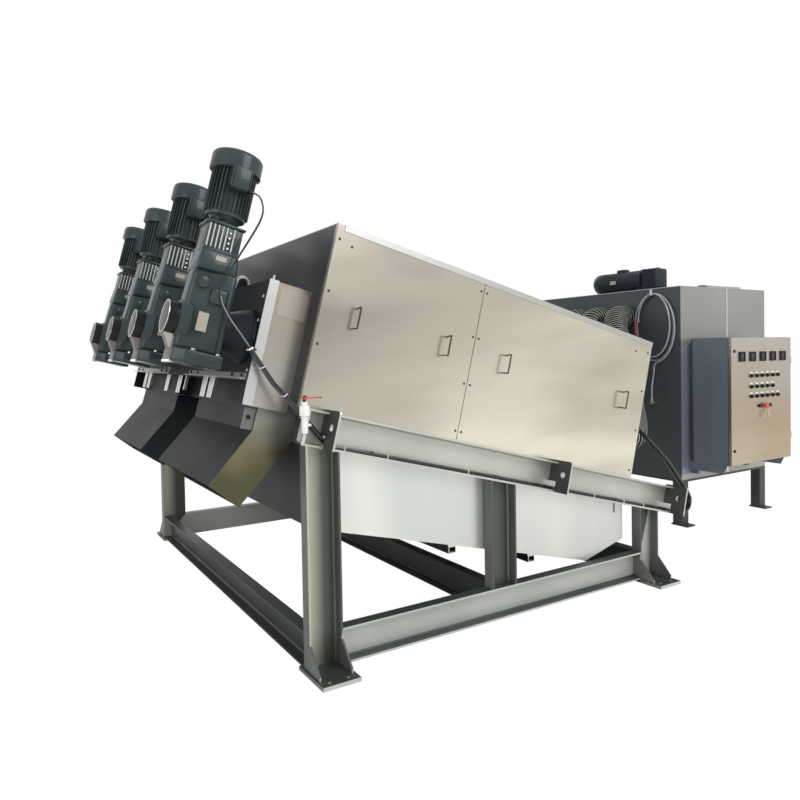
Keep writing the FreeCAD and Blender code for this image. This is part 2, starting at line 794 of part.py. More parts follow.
def tank_stand():
    """Angle legs with foot plates and a ring of channels under the tank."""
    parts = []
    z1 = tank_z0
    ring = stand_ring_h
    parts.append(box(tank_x0, tank_x1, tank_y0, tank_y0 + 60, z1 - ring, z1))
    parts.append(box(tank_x0, tank_x1, tank_y1 - 60, tank_y1, z1 - ring, z1))
    parts.append(box(tank_x0, tank_x0 + 60, tank_y0, tank_y1, z1 - ring, z1))
    parts.append(box(tank_x1 - 60, tank_x1, tank_y0, tank_y1, z1 - ring, z1))
    for x in (tank_x0, tank_x1 - tank_leg):
        for y in (tank_y0, tank_y1 - tank_leg):
            parts.append(box(x, x + tank_leg, y, y + tank_leg, 0, z1 - ring))
            out = -1 if y == tank_y0 else 1
            edge = y if out < 0 else y + tank_leg
            ends = sorted([edge + out * tank_foot_out, edge - out * (tank_leg + 10)])
            foot = box(x - 10, x + tank_leg + 10, ends[0], ends[1], 0, tank_foot_t)
            bolt = V(x + tank_leg / 2, edge + out * tank_bolt_out, -1)
            parts.append(foot.cut(cyl(tank_bolt_d / 2, bolt, V(0, 0, 1), tank_foot_t + 2)))
    return fused(parts)


def ring_points(centre, way, side, radius, count):
    """Corners of a regular polygon square to a direction, the first one on the given side."""
    other = way.cross(side).normalize()
    corners = []
    for i in range(count):
        turn = 2 * math.pi * i / count
        corners.append(centre + side * (radius * math.cos(turn)) + other * (radius * math.sin(turn)))
    return corners


def corner_radius(before, corner, after, turn, bend):
    """Radius of a rounded corner: the given one, or else as large as the two runs allow."""
    if bend is not None:
        return bend
    shorter = min((corner - before).Length, (after - corner).Length)
    return 0.45 * shorter / math.tan(turn / 2)


def rounded_path(points, bend, steps):
    """Stations (place, heading) along a run of straight lines whose corners are rounded."""
    stations = [(points[0], (points[1] - points[0]).normalize())]
    for i in range(1, len(points) - 1):
        d1 = (points[i] - points[i - 1]).normalize()
        d2 = (points[i + 1] - points[i]).normalize()
        turn = math.atan2(d1.cross(d2).Length, d1.dot(d2))
        radius = corner_radius(points[i - 1], points[i], points[i + 1], turn, bend)
        before = points[i] - d1 * (radius * math.tan(turn / 2))
        axis = d1.cross(d2).normalize()
        centre = before + axis.cross(d1).normalize() * radius
        for k in range(steps + 1):
            spin = FreeCAD.Rotation(axis, math.degrees(turn) * k / steps)
            stations.append((centre + spin.multVec(before - centre), spin.multVec(d1)))
    stations.append((points[-1], (points[-1] - points[-2]).normalize()))
    return stations


def flexible_hose(points, bend, radius, sides, steps):
    """Hose lofted through many-sided sections that turn with the path."""
    stations = rounded_path(points, bend, steps)
    last, way = stations[0]
    side = way.cross(V(0, 1, 0)).normalize()
    rings = [ring_points(last, way, side, radius, sides)]
    for place, way in stations[1:]:
        chord = (place - last).normalize()
        side = side - chord * (2 * side.dot(chord))
        rings.append(ring_points(place, way, side, radius, sides))
        last = place
    return skin(rings)


def feed_hose(index):
    """Flexible hose from the tank's front wall, over a bend and down to the feed socket of a screw."""
    start = V(tank_x0, hose_tank_y()[index], hose_z)
    end = on_slope(cover_a1 + rear_stub_l, screw_y[index], screw_b)
    first = start + V(-hose_lead, 0, 0)
    last = end + V(COS, 0, -SIN) * hose_tail
    return flexible_hose([start, first, last, end], hose_bend, hose_d / 2, hose_sides, 4)


def mixer_gearmotor():
    """Mixer drive lying across the tank roof on a flange."""
    x = tank_x0 + mixer_in_x
    y = tank_y0 + mixer_in_y
    z = tank_z1 + roof_t
    axis = V(x, 0, z + mixer_axis_h)
    half = mixer_pad / 2
    y1 = y + mixer_block_l / 2
    y2 = y1 + mixer_flange_t
    y3 = y2 + mixer_body_l
    y4 = y3 + mixer_fan_l
    up = V(0, 0, 1)
    pad = box(x - half, x + half, y - half, y + half, z, z + mixer_pad_t)
    block = box(x - mixer_block_w / 2, x + mixer_block_w / 2, y - mixer_block_l / 2, y1, z + mixer_pad_t,
                z + mixer_pad_t + mixer_block_h)
    flange = bar_between(axis + V(0, y1, 0), axis + V(0, y2, 0), up, mixer_flange_d / 2, round_sides)
    body = bar_between(axis + V(0, y2, 0), axis + V(0, y3, 0), up, mixer_body_d / 2, round_sides)
    fan = tapered([axis + V(0, y3, 0), axis + V(0, y4 - fan_round, 0), axis + V(0, y4, 0)], up,
                  [mixer_fan_d / 2, mixer_fan_d / 2, mixer_fan_d / 2 - fan_round], round_sides)
    half_box = mixer_box_l / 2
    terminal = box(x - half_box, x + half_box, y2 + mixer_box_from, y2 + mixer_box_from + mixer_box_l,
                   axis.z + mixer_body_d / 3, axis.z + mixer_box_top)
    return fused([pad, block, flange, body, fan, terminal])


def hinge_heights():
    return (cab_z0 + hinge_from_end, cab_z1 - hinge_from_end - hinge_h)


def cabinet_body():
    """Open-fronted cabinet box with its brackets against the tank and the fixed hinge pins."""
    y_door = cab_y0 + door_t + door_gap
    outer = box(cab_x0, cab_x1, y_door, cab_y1, cab_z0, cab_z1)
    inner = box(cab_x0 + cab_t, cab_x1 - cab_t, y_door - 1, cab_y1 - cab_t, cab_z0 + cab_t, cab_z1 - cab_t)
    shell = outer.cut(inner)
    cut_x = tank_x0 + back_plate_cut[0]
    cut_z = cab_z1 - back_plate_cut[1]
    plate = prism([(tank_x0, back_plate_z0), (tank_x0, cut_z), (cut_x, cab_z1), (cab_x1, cab_z1),
                   (cab_x1, back_plate_z0)], "y", tank_y0 - back_plate_t, back_plate_t)
    parts = [shell, plate]
    for x in (cab_x0 + bracket_in, cab_x1 - bracket_in - bracket_w):
        parts.append(box(x, x + bracket_w, cab_y1, tank_y0 - back_plate_t, back_plate_z0, cab_z1))
    pin_x = cab_x1 + hinge_out
    pin_y = cab_y0 + hinge_back
    for z in hinge_heights():
        parts.append(box(cab_x1, pin_x + hinge_pin_d, pin_y - hinge_pin_d / 2, y_door + 30, z - 11, z - 1))
        parts.append(cyl(hinge_pin_d / 2, V(pin_x, pin_y, z - 6), V(0, 0, 1), hinge_h + 12))
    return fused(parts)


def cabinet_door():
    """Door sheet with folded rim and a knuckle round each hinge pin."""
    g = 2.0
    outer = box(cab_x0 + g, cab_x1 - g, cab_y0, cab_y0 + door_t, cab_z0 + g, cab_z1 - g)
    inner = box(cab_x0 + g + 3, cab_x1 - g - 3, cab_y0 + 3, cab_y0 + door_t + 1, cab_z0 + g + 3, cab_z1 - g - 3)
    parts = [outer.cut(inner)]
    bores = []
    pin_x = cab_x1 + hinge_out
    pin_y = cab_y0 + hinge_back
    for z in hinge_heights():
        parts.append(cyl(hinge_knuckle_d / 2, V(pin_x, pin_y, z), V(0, 0, 1), hinge_h))
        parts.append(box(cab_x1 - g - 1, pin_x, cab_y0, cab_y0 + 5, z, z + hinge_h))
        bores.append(cyl(hinge_pin_d / 2 + hinge_clearance, V(pin_x, pin_y, z - 1), V(0, 0, 1), hinge_h + 2))
    return fused(parts).cut(bores[0]).cut(bores[1])


def valve_body():
    """Upright pipe with ball valve, clipped to the front end of the near rail."""
    pipe = upright_bar(valve_x, valve_y, *valve_pipe_z, valve_pipe_d / 2, coil_sides)
    body = upright_bar(valve_x, valve_y, *valve_body_z, valve_body_d / 2, coil_sides)
    stem = cyl(stem_d / 2, V(valve_x, valve_y, valve_pipe_z[1]), V(0, 0, 1), stem_z1 - valve_pipe_z[1])
    clip = box(valve_x, valve_x + valve_clip[0], valve_y, 0, valve_clip_z, valve_clip_z + valve_clip[1])
    return fused([pipe, body, stem, clip])


def valve_lever():
    """Flat lever that tapers towards its tip, turning on the valve's stem."""
    hub = upright_bar(valve_x, valve_y, *lever_hub_z, lever_hub_d / 2, coil_sides)
    wide = lever_half_w[0]
    slim = lever_half_w[1]
    tip_x = valve_x + lever_l
    outline = [(valve_x, valve_y - wide), (tip_x, valve_y - slim), (tip_x, valve_y + slim), (valve_x, valve_y + wide)]
    arm = prism(outline, "z", lever_z[0], lever_z[1] - lever_z[0])
    bore = cyl(stem_d / 2 + stem_clearance, V(valve_x, valve_y, lever_hub_z[0] - 4), V(0, 0, 1),
               lever_hub_z[1] - lever_hub_z[0] + 8)
    return fused([hub, arm]).cut(bore)


def build():
    nodes = {}
    near = side_frame()
    nodes["base_frame_near"] = near
    nodes["base_frame_far"] = mirrored(near)
    slanted = rail()
    nodes["rail_near"] = slanted
    nodes["rail_far"] = mirrored(slanted)
    nodes["cross_beam_front"] = cross_beam(leg_front_x)
    nodes["cross_beam_mid"] = cross_beam(leg_mid_x + 55)
    nodes["cross_beam_rear"] = cross_beam(leg_rear_x)
    front_panel = cover_panel(0.0, cover_split_a - cover_seam / 2)
    rear_panel = cover_panel(cover_split_a + cover_seam / 2, cover_a1)
    nodes["cover_panel_near_front"] = front_panel
    nodes["cover_panel_near_rear"] = rear_panel
    nodes["cover_panel_far_front"] = mirrored(front_panel)
    nodes["cover_panel_far_rear"] = mirrored(rear_panel)
    nodes["cover_lid"] = cover_lid()
    nodes["cover_front_plate"] = cover_front()
    nodes["cover_rear_plate"] = cover_rear()
    nodes["discharge_housing"] = discharge_housing()
    nodes["filtrate_tray"] = filtrate_tray()
    for i, y in enumerate(screw_y):
        tag = str(i + 1)
        nodes["disc_cylinder_" + tag] = disc_cylinder(y)
        nodes["gearbox_" + tag] = gearbox(y)
        nodes["motor_" + tag] = motor(y)
        nodes["feed_hose_" + tag] = feed_hose(i)
    for i, y in enumerate(module_y):
        nodes["discharge_chute_" + str(i + 1)] = chute(y)
    nodes["tank_shell"] = tank_shell()
    nodes["tank_roof"] = tank_roof()
    nodes["tank_stand"] = tank_stand()
    nodes["mixer_gearmotor"] = mixer_gearmotor()
    nodes["cabinet_body"] = cabinet_body()
    nodes["cabinet_door"] = cabinet_door()
    nodes["valve_body"] = valve_body()
    nodes["valve_lever"] = valve_lever()
    nodes["rail_conduit"] = rail_conduit()
    nodes["wash_hose_coil"] = wash_hose_coil()
    nodes["wash_hose_tail"] = wash_hose_tail()
    nodes["spray_gun"] = spray_gun()
    return nodes


def centre_shift(nodes):
    """Move that puts the middle of the plan at the origin."""
    reach = FreeCAD.BoundBox()
    for shape in nodes.values():
        reach.add(shape.optimalBoundingBox(False))
    return V(-reach.Center.x, -reach.Center.y, 0)


nodes = build()
shift = centre_shift(nodes)
for name, shape in nodes.items():
    shape.translate(shift)
    shape.exportStep("parts/" + name + ".step")
print("nodes", len(nodes), "shift", round(shift.x, 3), round(shift.y, 3))
print("wash hose corner radii", corner_radii(wash_tail_points()))
print("motor lead corner radii", corner_radii(lead_route(screw_y[0])))
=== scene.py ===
"""Looks of the multi-disc screw press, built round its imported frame. Lengths are in metres."""

import logging
import math
from contextlib import contextmanager
from dataclasses import dataclass, field
from enum import Enum
from typing import Callable, Iterator, Optional, Sequence, Union

import bmesh
import bpy
from mathutils import Matrix, Vector


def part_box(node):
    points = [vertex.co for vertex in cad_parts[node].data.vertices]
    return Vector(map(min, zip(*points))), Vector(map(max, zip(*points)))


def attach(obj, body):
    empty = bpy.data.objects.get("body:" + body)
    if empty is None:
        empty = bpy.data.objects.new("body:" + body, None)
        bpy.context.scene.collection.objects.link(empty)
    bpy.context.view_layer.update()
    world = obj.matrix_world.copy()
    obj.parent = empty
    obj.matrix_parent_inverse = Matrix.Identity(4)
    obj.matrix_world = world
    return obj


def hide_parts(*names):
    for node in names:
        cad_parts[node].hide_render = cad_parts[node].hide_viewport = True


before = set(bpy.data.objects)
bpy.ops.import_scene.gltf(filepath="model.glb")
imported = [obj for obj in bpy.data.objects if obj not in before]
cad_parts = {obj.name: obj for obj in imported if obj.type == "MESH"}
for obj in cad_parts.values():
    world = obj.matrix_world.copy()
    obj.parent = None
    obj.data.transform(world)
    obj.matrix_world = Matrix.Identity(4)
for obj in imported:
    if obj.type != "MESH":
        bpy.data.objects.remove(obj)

Rgb = tuple[float, float, float]
Obj = bpy.types.Object
Place = Sequence[float]

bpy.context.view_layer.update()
log = logging.getLogger("screw_press")


class Body(Enum):
    """The moving bodies that a piece can ride on."""

    MACHINE = "machine"
    DOOR = "door"
    LEVER = "lever"


class Axis(Enum):
    """Row axis that a turned piece or a row of copies follows."""

    X = Vector((1, 0, 0))
    Y = Vector((0, 1, 0))
    Z = Vector((0, 0, 1))


class Term:
    """A number socket of a shader that takes part in sums and products."""

    def __init__(self, tree: "Tree", socket: bpy.types.NodeSocket) -> None:
        """Wraps a socket of a tree."""
        self.tree = tree
        self.socket = socket

    def _math(self, operation: str, first: "Number", second: "Number") -> "Term":
        """Adds one Math node.

        Args:
            operation: the node's operation.
            first: left value.
            second: right value.

        Returns:
            The node's result as a term.
        """
        node = self.tree.add("ShaderNodeMath", {"operation": operation}, {0: first, 1: second})
        return Term(self.tree, node.outputs[0])

    def __add__(self, other: "Number") -> "Term":
        """Sum."""
        return self._math("ADD", self, other)

    __radd__ = __add__

    def __sub__(self, other: "Number") -> "Term":
        """Difference."""
        return self._math("SUBTRACT", self, other)

    def __rsub__(self, other: "Number") -> "Term":
        """Difference with the number on the left."""
        return self._math("SUBTRACT", other, self)

    def __mul__(self, other: "Number") -> "Term":
        """Product."""
        return self._math("MULTIPLY", self, other)

    __rmul__ = __mul__


Number = Union[float, Term]


class Tree:
    """Node tree of one material round its main shader."""

    def __init__(self, name: str) -> None:
        """Makes an empty material of that name."""
        self.material = bpy.data.materials.new(name)
        self.material.use_nodes = True
        self.nodes = self.material.node_tree.nodes
        self.links = self.material.node_tree.links
        self.shader = self.nodes["Principled BSDF"]

    def add(self, kind: str, settings: dict, sockets: dict) -> bpy.types.Node:
        """Adds a node.

        Args:
            kind: Blender's type name of the node.
            settings: properties, set before the sockets.
            sockets: value, socket or term for each input, by name or number.

        Returns:
            The node.
        """
        node = self.nodes.new(kind)
        for name, value in settings.items():
            setattr(node, name, value)
        for key, value in sockets.items():
            self.feed(node.inputs[key], value)
        return node

    def feed(self, socket: bpy.types.NodeSocket, value: object) -> None:
        """Links a term or socket to an input, or sets the input's own value."""
        if isinstance(value, Term):
            value = value.socket
        if isinstance(value, bpy.types.NodeSocket):
            self.links.new(value, socket)
        else:
            socket.default_value = value

    def place(self, scale: Place) -> bpy.types.NodeSocket:
        """Object coordinates stretched by a scale along each axis."""
        where = self.add("ShaderNodeTexCoord", {}, {})
        mapping = self.add("ShaderNodeMapping", {}, {"Vector": where.outputs["Object"], "Scale": scale})
        return mapping.outputs[0]

    def clouds(self, scale: Place, detail: float = 2.0) -> Term:
        """Soft noise from about 0.3 to 0.7, with that many patches a metre along each axis."""
        sockets = {"Vector": self.place(scale), "Scale": 1.0, "Detail": detail}
        return Term(self, self.add("ShaderNodeTexNoise", {}, sockets).outputs[0])

    def ramp(self, value: Term, low: float, high: float) -> Term:
        """Value stretched so that low to high covers 0 to 1, and cut off there."""
        sockets = {"Value": value, "From Min": low, "From Max": high}
        return Term(self, self.add("ShaderNodeMapRange", {"clamp": True}, sockets).outputs[0])

    def blend(self, amount: Term, first: object, second: object) -> bpy.types.NodeSocket:
        """Mix of two colours."""
        first = (*first[:3], 1.0) if isinstance(first, tuple) else first
        second = (*second[:3], 1.0) if isinstance(second, tuple) else second
        node = self.add("ShaderNodeMix", {"data_type": "RGBA"}, {0: amount, 6: first, 7: second})
        return node.outputs[2]

    def along(self, way: Place) -> Term:
        """How far a point of the row frame lies along a direction."""
        where = self.add("ShaderNodeTexCoord", {}, {})
        node = self.add("ShaderNodeVectorMath", {"operation": "DOT_PRODUCT"}, {0: where.outputs["Object"], 1: way})
        return Term(self, node.outputs["Value"])


def srgb(red: int, green: int, blue: int) -> Rgb:
    """Linear colour of a screen colour from 0 to 255."""

    def linear(part: int) -> float:
        """One channel."""
        share = part / 255.0
        return share / 12.92 if share <= 0.04045 else ((share + 0.055) / 1.055) ** 2.4

    return linear(red), linear(green), linear(blue)


@dataclass(frozen=True)
class Finish:
    """One surface finish. Patches are soft clouds of a second colour, grain is a fine bump."""

    name: str
    colour: Rgb
    roughness: float
    metallic: float = 0.0
    coat: float = 0.0
    patch_colour: Optional[Rgb] = None
    patches: tuple[float, float, float] = (2.0, 2.0, 2.0)
    low_colour: Optional[Rgb] = None
    low_from: float = 0.0
    low_to: float = 1.0
    low_way: tuple[float, float, float] = (0.0, 0.0, 1.0)
    uneven: float = 0.0
    grain: float = 0.0
    grain_scale: tuple[float, float, float] = (400.0, 400.0, 400.0)
    alpha: float = 1.0
    specular: float = 0.5

    def material(self) -> bpy.types.Material:
        """The finish as a material, made once."""
        made = bpy.data.materials.get("look_" + self.name)
        return made if made else self._build()

    def _build(self) -> bpy.types.Material:
        """Builds the shader."""
        tree = Tree("look_" + self.name)
        shader = tree.shader.inputs
        tree.feed(shader["Metallic"], self.metallic)
        tree.feed(shader["Coat Weight"], self.coat)
        tree.feed(shader["Alpha"], self.alpha)
        tree.feed(shader["Specular IOR Level"], self.specular)
        colour = (*self.colour, 1.0)
        # Towards one end along low_way the colour fades to the low colour; on the cover and the legs that low colour is
        # painted shade.
        if self.low_colour:
            share = tree.ramp(tree.along(self.low_way), self.low_from, self.low_to)
            colour = tree.blend(share, self.low_colour, self.colour)
        if self.patch_colour:
            share = tree.ramp(tree.clouds(self.patches), 0.36, 0.66)
            colour = tree.blend(share, colour, self.patch_colour)
        tree.feed(shader["Base Color"], colour)
        roughness: Number = self.roughness
        if self.uneven:
            wander = tree.clouds(tuple(1.7 * p for p in self.patches), 4.0) - 0.5
            roughness = wander * (2.0 * self.uneven) + self.roughness
        tree.feed(shader["Roughness"], roughness)
        if self.grain:
            marks = tree.clouds(self.grain_scale, 3.0)
            bump = tree.add("ShaderNodeBump", {}, {"Strength": 0.6, "Distance": self.grain, "Height": marks})
            tree.feed(shader["Normal"], bump.outputs[0])
        tree.material.diffuse_color = (*self.colour, 1.0)
        return tree.material


# Directions along which painted shade darkens the cover and the legs.
COVER_SHADE_WAY = (0.5, 0.0, -0.87)
LEG_SHADE_WAY = (-1.0, 0.0, 0.0)

# Cover sheet: the clouds are random tone; the low colour is painted shade, darker towards the low end of the cover's
# direction above.
COVER_STEEL = Finish("cover_steel", srgb(222, 215, 197), 0.24, 0.9, patch_colour=srgb(190, 183, 169),
                     patches=(0.8, 1.0, 3.0), low_colour=srgb(154, 149, 141), low_from=-2.64, low_to=-1.70,
                     low_way=COVER_SHADE_WAY, uneven=0.05, grain=0.00006, grain_scale=(4.0, 60.0, 4.0))
LID_STEEL = Finish("lid_steel", srgb(186, 186, 182), 0.34, 0.85, uneven=0.04)
# Painted shade: the cover's end plates, dark as steel turned away from the light.
COVER_END_SHADE = Finish("cover_end_shade", srgb(46, 49, 52), 0.25, 0.6, patch_colour=srgb(60, 63, 65),
                    patches=(1.0, 1.5, 2.5), uneven=0.05)
# Painted shade: dark navy for shade and dark reflection on the bulkhead, inside the housing, in the arch and on the
# tray's front end.
NAVY_SHADE = Finish("navy_shade", srgb(24, 29, 34), 0.4, 0.15, patch_colour=srgb(36, 40, 46),
                    patches=(1.0, 1.6, 2.5), uneven=0.05, specular=0.12)
# Painted shade: dark green-grey on the chutes' faces that lie in shade.
CHUTE_SHADE = Finish("chute_shade", srgb(26, 29, 34), 0.45, 0.1, patch_colour=srgb(44, 48, 50),
                     patches=(1.5, 1.5, 3.0), uneven=0.04, specular=0.12)
# Painted sheen: the housing's side sheets are beige above z 1.95, fading to a light grey below z 1.3.
BEIGE_SHEEN = Finish("beige_sheen", srgb(140, 128, 118), 0.28, 0.8, patch_colour=srgb(172, 162, 146),
                     patches=(1.0, 1.0, 1.3), low_colour=srgb(186, 184, 176), low_from=1.3, low_to=1.95)
BRIGHT_STEEL = Finish("bright_steel", srgb(205, 205, 204), 0.25, 0.9)
LEDGE_STEEL = Finish("ledge_steel", srgb(178, 174, 168), 0.3, 0.7)
CHUTE_SIDE = Finish("chute_side", srgb(158, 163, 156), 0.3, 0.7, patch_colour=srgb(120, 112, 84),
                    patches=(2.5, 1.0, 2.5), low_colour=srgb(76, 76, 54), low_from=1.06, low_to=1.22)
RAIL_STEEL = Finish("rail_steel", srgb(180, 181, 173), 0.4, 0.6, patch_colour=srgb(192, 192, 184),
                    patches=(2.5, 2.5, 1.2), uneven=0.06, grain=0.0002)
# Leg steel: the lit web's colour, fading into painted shade, the low colour, towards +x.
LEG_STEEL = Finish("leg_steel", srgb(176, 178, 160), 0.42, 0.45, low_colour=srgb(80, 85, 76),
                   low_from=2.17, low_to=2.245, low_way=LEG_SHADE_WAY, uneven=0.05, grain=0.0002)
BEAM_STEEL = Finish("beam_steel", srgb(176, 180, 176), 0.42, 0.4, patch_colour=srgb(188, 190, 184),
                    patches=(2.5, 2.5, 1.2), uneven=0.06, grain=0.0002)
# Painted shade: the frame's flanges and sides, darker than the lit webs; also used on the chute bracket.
FLANGE_SHADE_GREY = Finish("flange_shade_grey", srgb(96, 99, 96), 0.42, 0.4, patch_colour=srgb(112, 114, 110),
                    patches=(2.5, 2.5, 1.2), uneven=0.06, grain=0.0002)
# Painted shade: dark grey on the cross beams, the frame's tops, the rails' lugs and ends and the tank stand; also the
# meters' dials.
SHADE_DARK_GREY = Finish("shade_dark_grey", srgb(66, 71, 69), 0.42, 0.45, specular=0.3, patch_colour=srgb(78, 82, 78),
                    patches=(2.0, 2.0, 2.0), uneven=0.06)
TRAY_STEEL = Finish("tray_steel", srgb(200, 204, 197), 0.34, 0.7, patch_colour=srgb(218, 220, 212),
                    patches=(2.0, 1.0, 0.8), uneven=0.05)
TANK_SIDE = Finish("tank_side", srgb(150, 150, 147), 0.36, 0.6, patch_colour=srgb(160, 159, 155),
                   patches=(0.8, 0.8, 0.8), low_colour=srgb(168, 163, 146), low_from=0.7, low_to=1.5)
# Painted shade: the tank's front and back faces, darker than its sides.
TANK_END_SHADE = Finish("tank_end_shade", srgb(64, 71, 74), 0.38, 0.3, patch_colour=srgb(78, 86, 88),
                    patches=(0.8, 0.9, 0.5))
GEAR_PAINT = Finish("gear_paint", srgb(40, 52, 52), 0.3, 0.0, coat=0.2, specular=0.2, patch_colour=srgb(54, 67, 67),
                    patches=(4.0, 4.0, 4.0), uneven=0.08, grain=0.0003, grain_scale=(90.0, 90.0, 90.0))
MIXER_PAINT = Finish("mixer_paint", srgb(32, 40, 50), 0.38, coat=0.1, specular=0.2)
BLACK_GLOSS = Finish("black_gloss", srgb(16, 17, 19), 0.28, coat=0.1, specular=0.2)
BLACK_RUBBER = Finish("black_rubber", srgb(20, 21, 23), 0.5, specular=0.2)
WHITE_PLASTIC = Finish("white_plastic", srgb(226, 226, 220), 0.45)
RED_PLASTIC = Finish("red_plastic", srgb(190, 62, 62), 0.4, coat=0.2)
GUN_RED = Finish("gun_red", srgb(140, 30, 44), 0.35, coat=0.3)
HOSE_WALL = Finish("hose_wall", srgb(34, 35, 35), 0.5, 0.2, specular=0.2)
# Painted highlight: light on the crests of the dark corrugated hose.
HOSE_RIB_HIGHLIGHT = Finish("hose_rib_highlight", srgb(178, 177, 168), 0.35, 0.3)
# Painted highlight: light on the first stage's ribs, painted against its dark case.
STAGE_RIB_HIGHLIGHT = Finish("stage_rib_highlight", srgb(168, 172, 170), 0.35, 0.4)
HOSE_CLEAR = Finish("hose_clear", srgb(146, 150, 158), 0.2, 0.0, coat=0.5)
CONDUIT = Finish("conduit", srgb(14, 15, 16), 0.22, coat=0.5)
# Painted shade: the output nose, darker than the gear case it belongs to.
NOSE_SHADE = Finish("nose_shade", srgb(22, 28, 32), 0.5, specular=0.2)
CABINET_FRONT = Finish("cabinet_front", srgb(196, 193, 188), 0.28, 0.85, patch_colour=srgb(186, 174, 154),
                       patches=(1.0, 1.0, 2.2), low_colour=srgb(178, 158, 130), low_from=0.9, low_to=1.5, uneven=0.02)
CABINET_SIDE = Finish("cabinet_side", srgb(106, 117, 128), 0.38, 0.3, patch_colour=srgb(128, 130, 146),
                      patches=(1.0, 3.0, 0.6))
PLATE = Finish("bare_plate", srgb(160, 153, 142), 0.4, 0.5)
SCREW_STEEL = Finish("screw_steel", srgb(60, 60, 60), 0.4, 0.7)
# Painted shade: the cover's stainless pull handles get a dark base colour.
HANDLE_SHADE_STEEL = Finish("handle_shade_steel", srgb(84, 78, 70), 0.25, 0.9)


@dataclass(frozen=True)
class Slope:
    """Places on the machine: along the incline (a), across (y) and square up from it (b)."""

    corner: Vector
    angle: float = math.radians(14.5)
    rail_top: float = 1.3

    def matrix(self) -> Matrix:
        """Turns a shape drawn along the incline into its place in the row frame."""
        lift = Matrix.Translation(self.corner + Vector((0, 0, self.rail_top)))
        return lift @ Matrix.Rotation(self.angle, 4, "Y")

    def at(self, a: float, y: float, b: float) -> Vector:
        """Row frame place of a point on the incline."""
        return self.matrix() @ Vector((a, y, b))

    def local(self, point: Vector) -> Vector:
        """Incline's a, y and b of a row frame place."""
        return self.matrix().inverted() @ point

    def floor(self, x: float, y: float, z: float) -> Vector:
        """Row frame place of a point measured from the near front leg at the floor."""
        return self.corner + Vector((x, y, z))


BASE_PLATE_SIDE = 0.010
BASE_PLATE_OUT = 0.165
FRAME_WIDTH = 3.030
SCREW_PITCH = 0.775
SCREW_B = 0.293

SLOPE = Slope(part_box("base_frame_near")[0] + Vector((BASE_PLATE_SIDE, BASE_PLATE_OUT, 0)))
SLOPE_CORNER = Matrix.Translation(SLOPE.corner)
SCREW_Y = [FRAME_WIDTH / 2 + (i - 1.5) * SCREW_PITCH for i in range(4)]


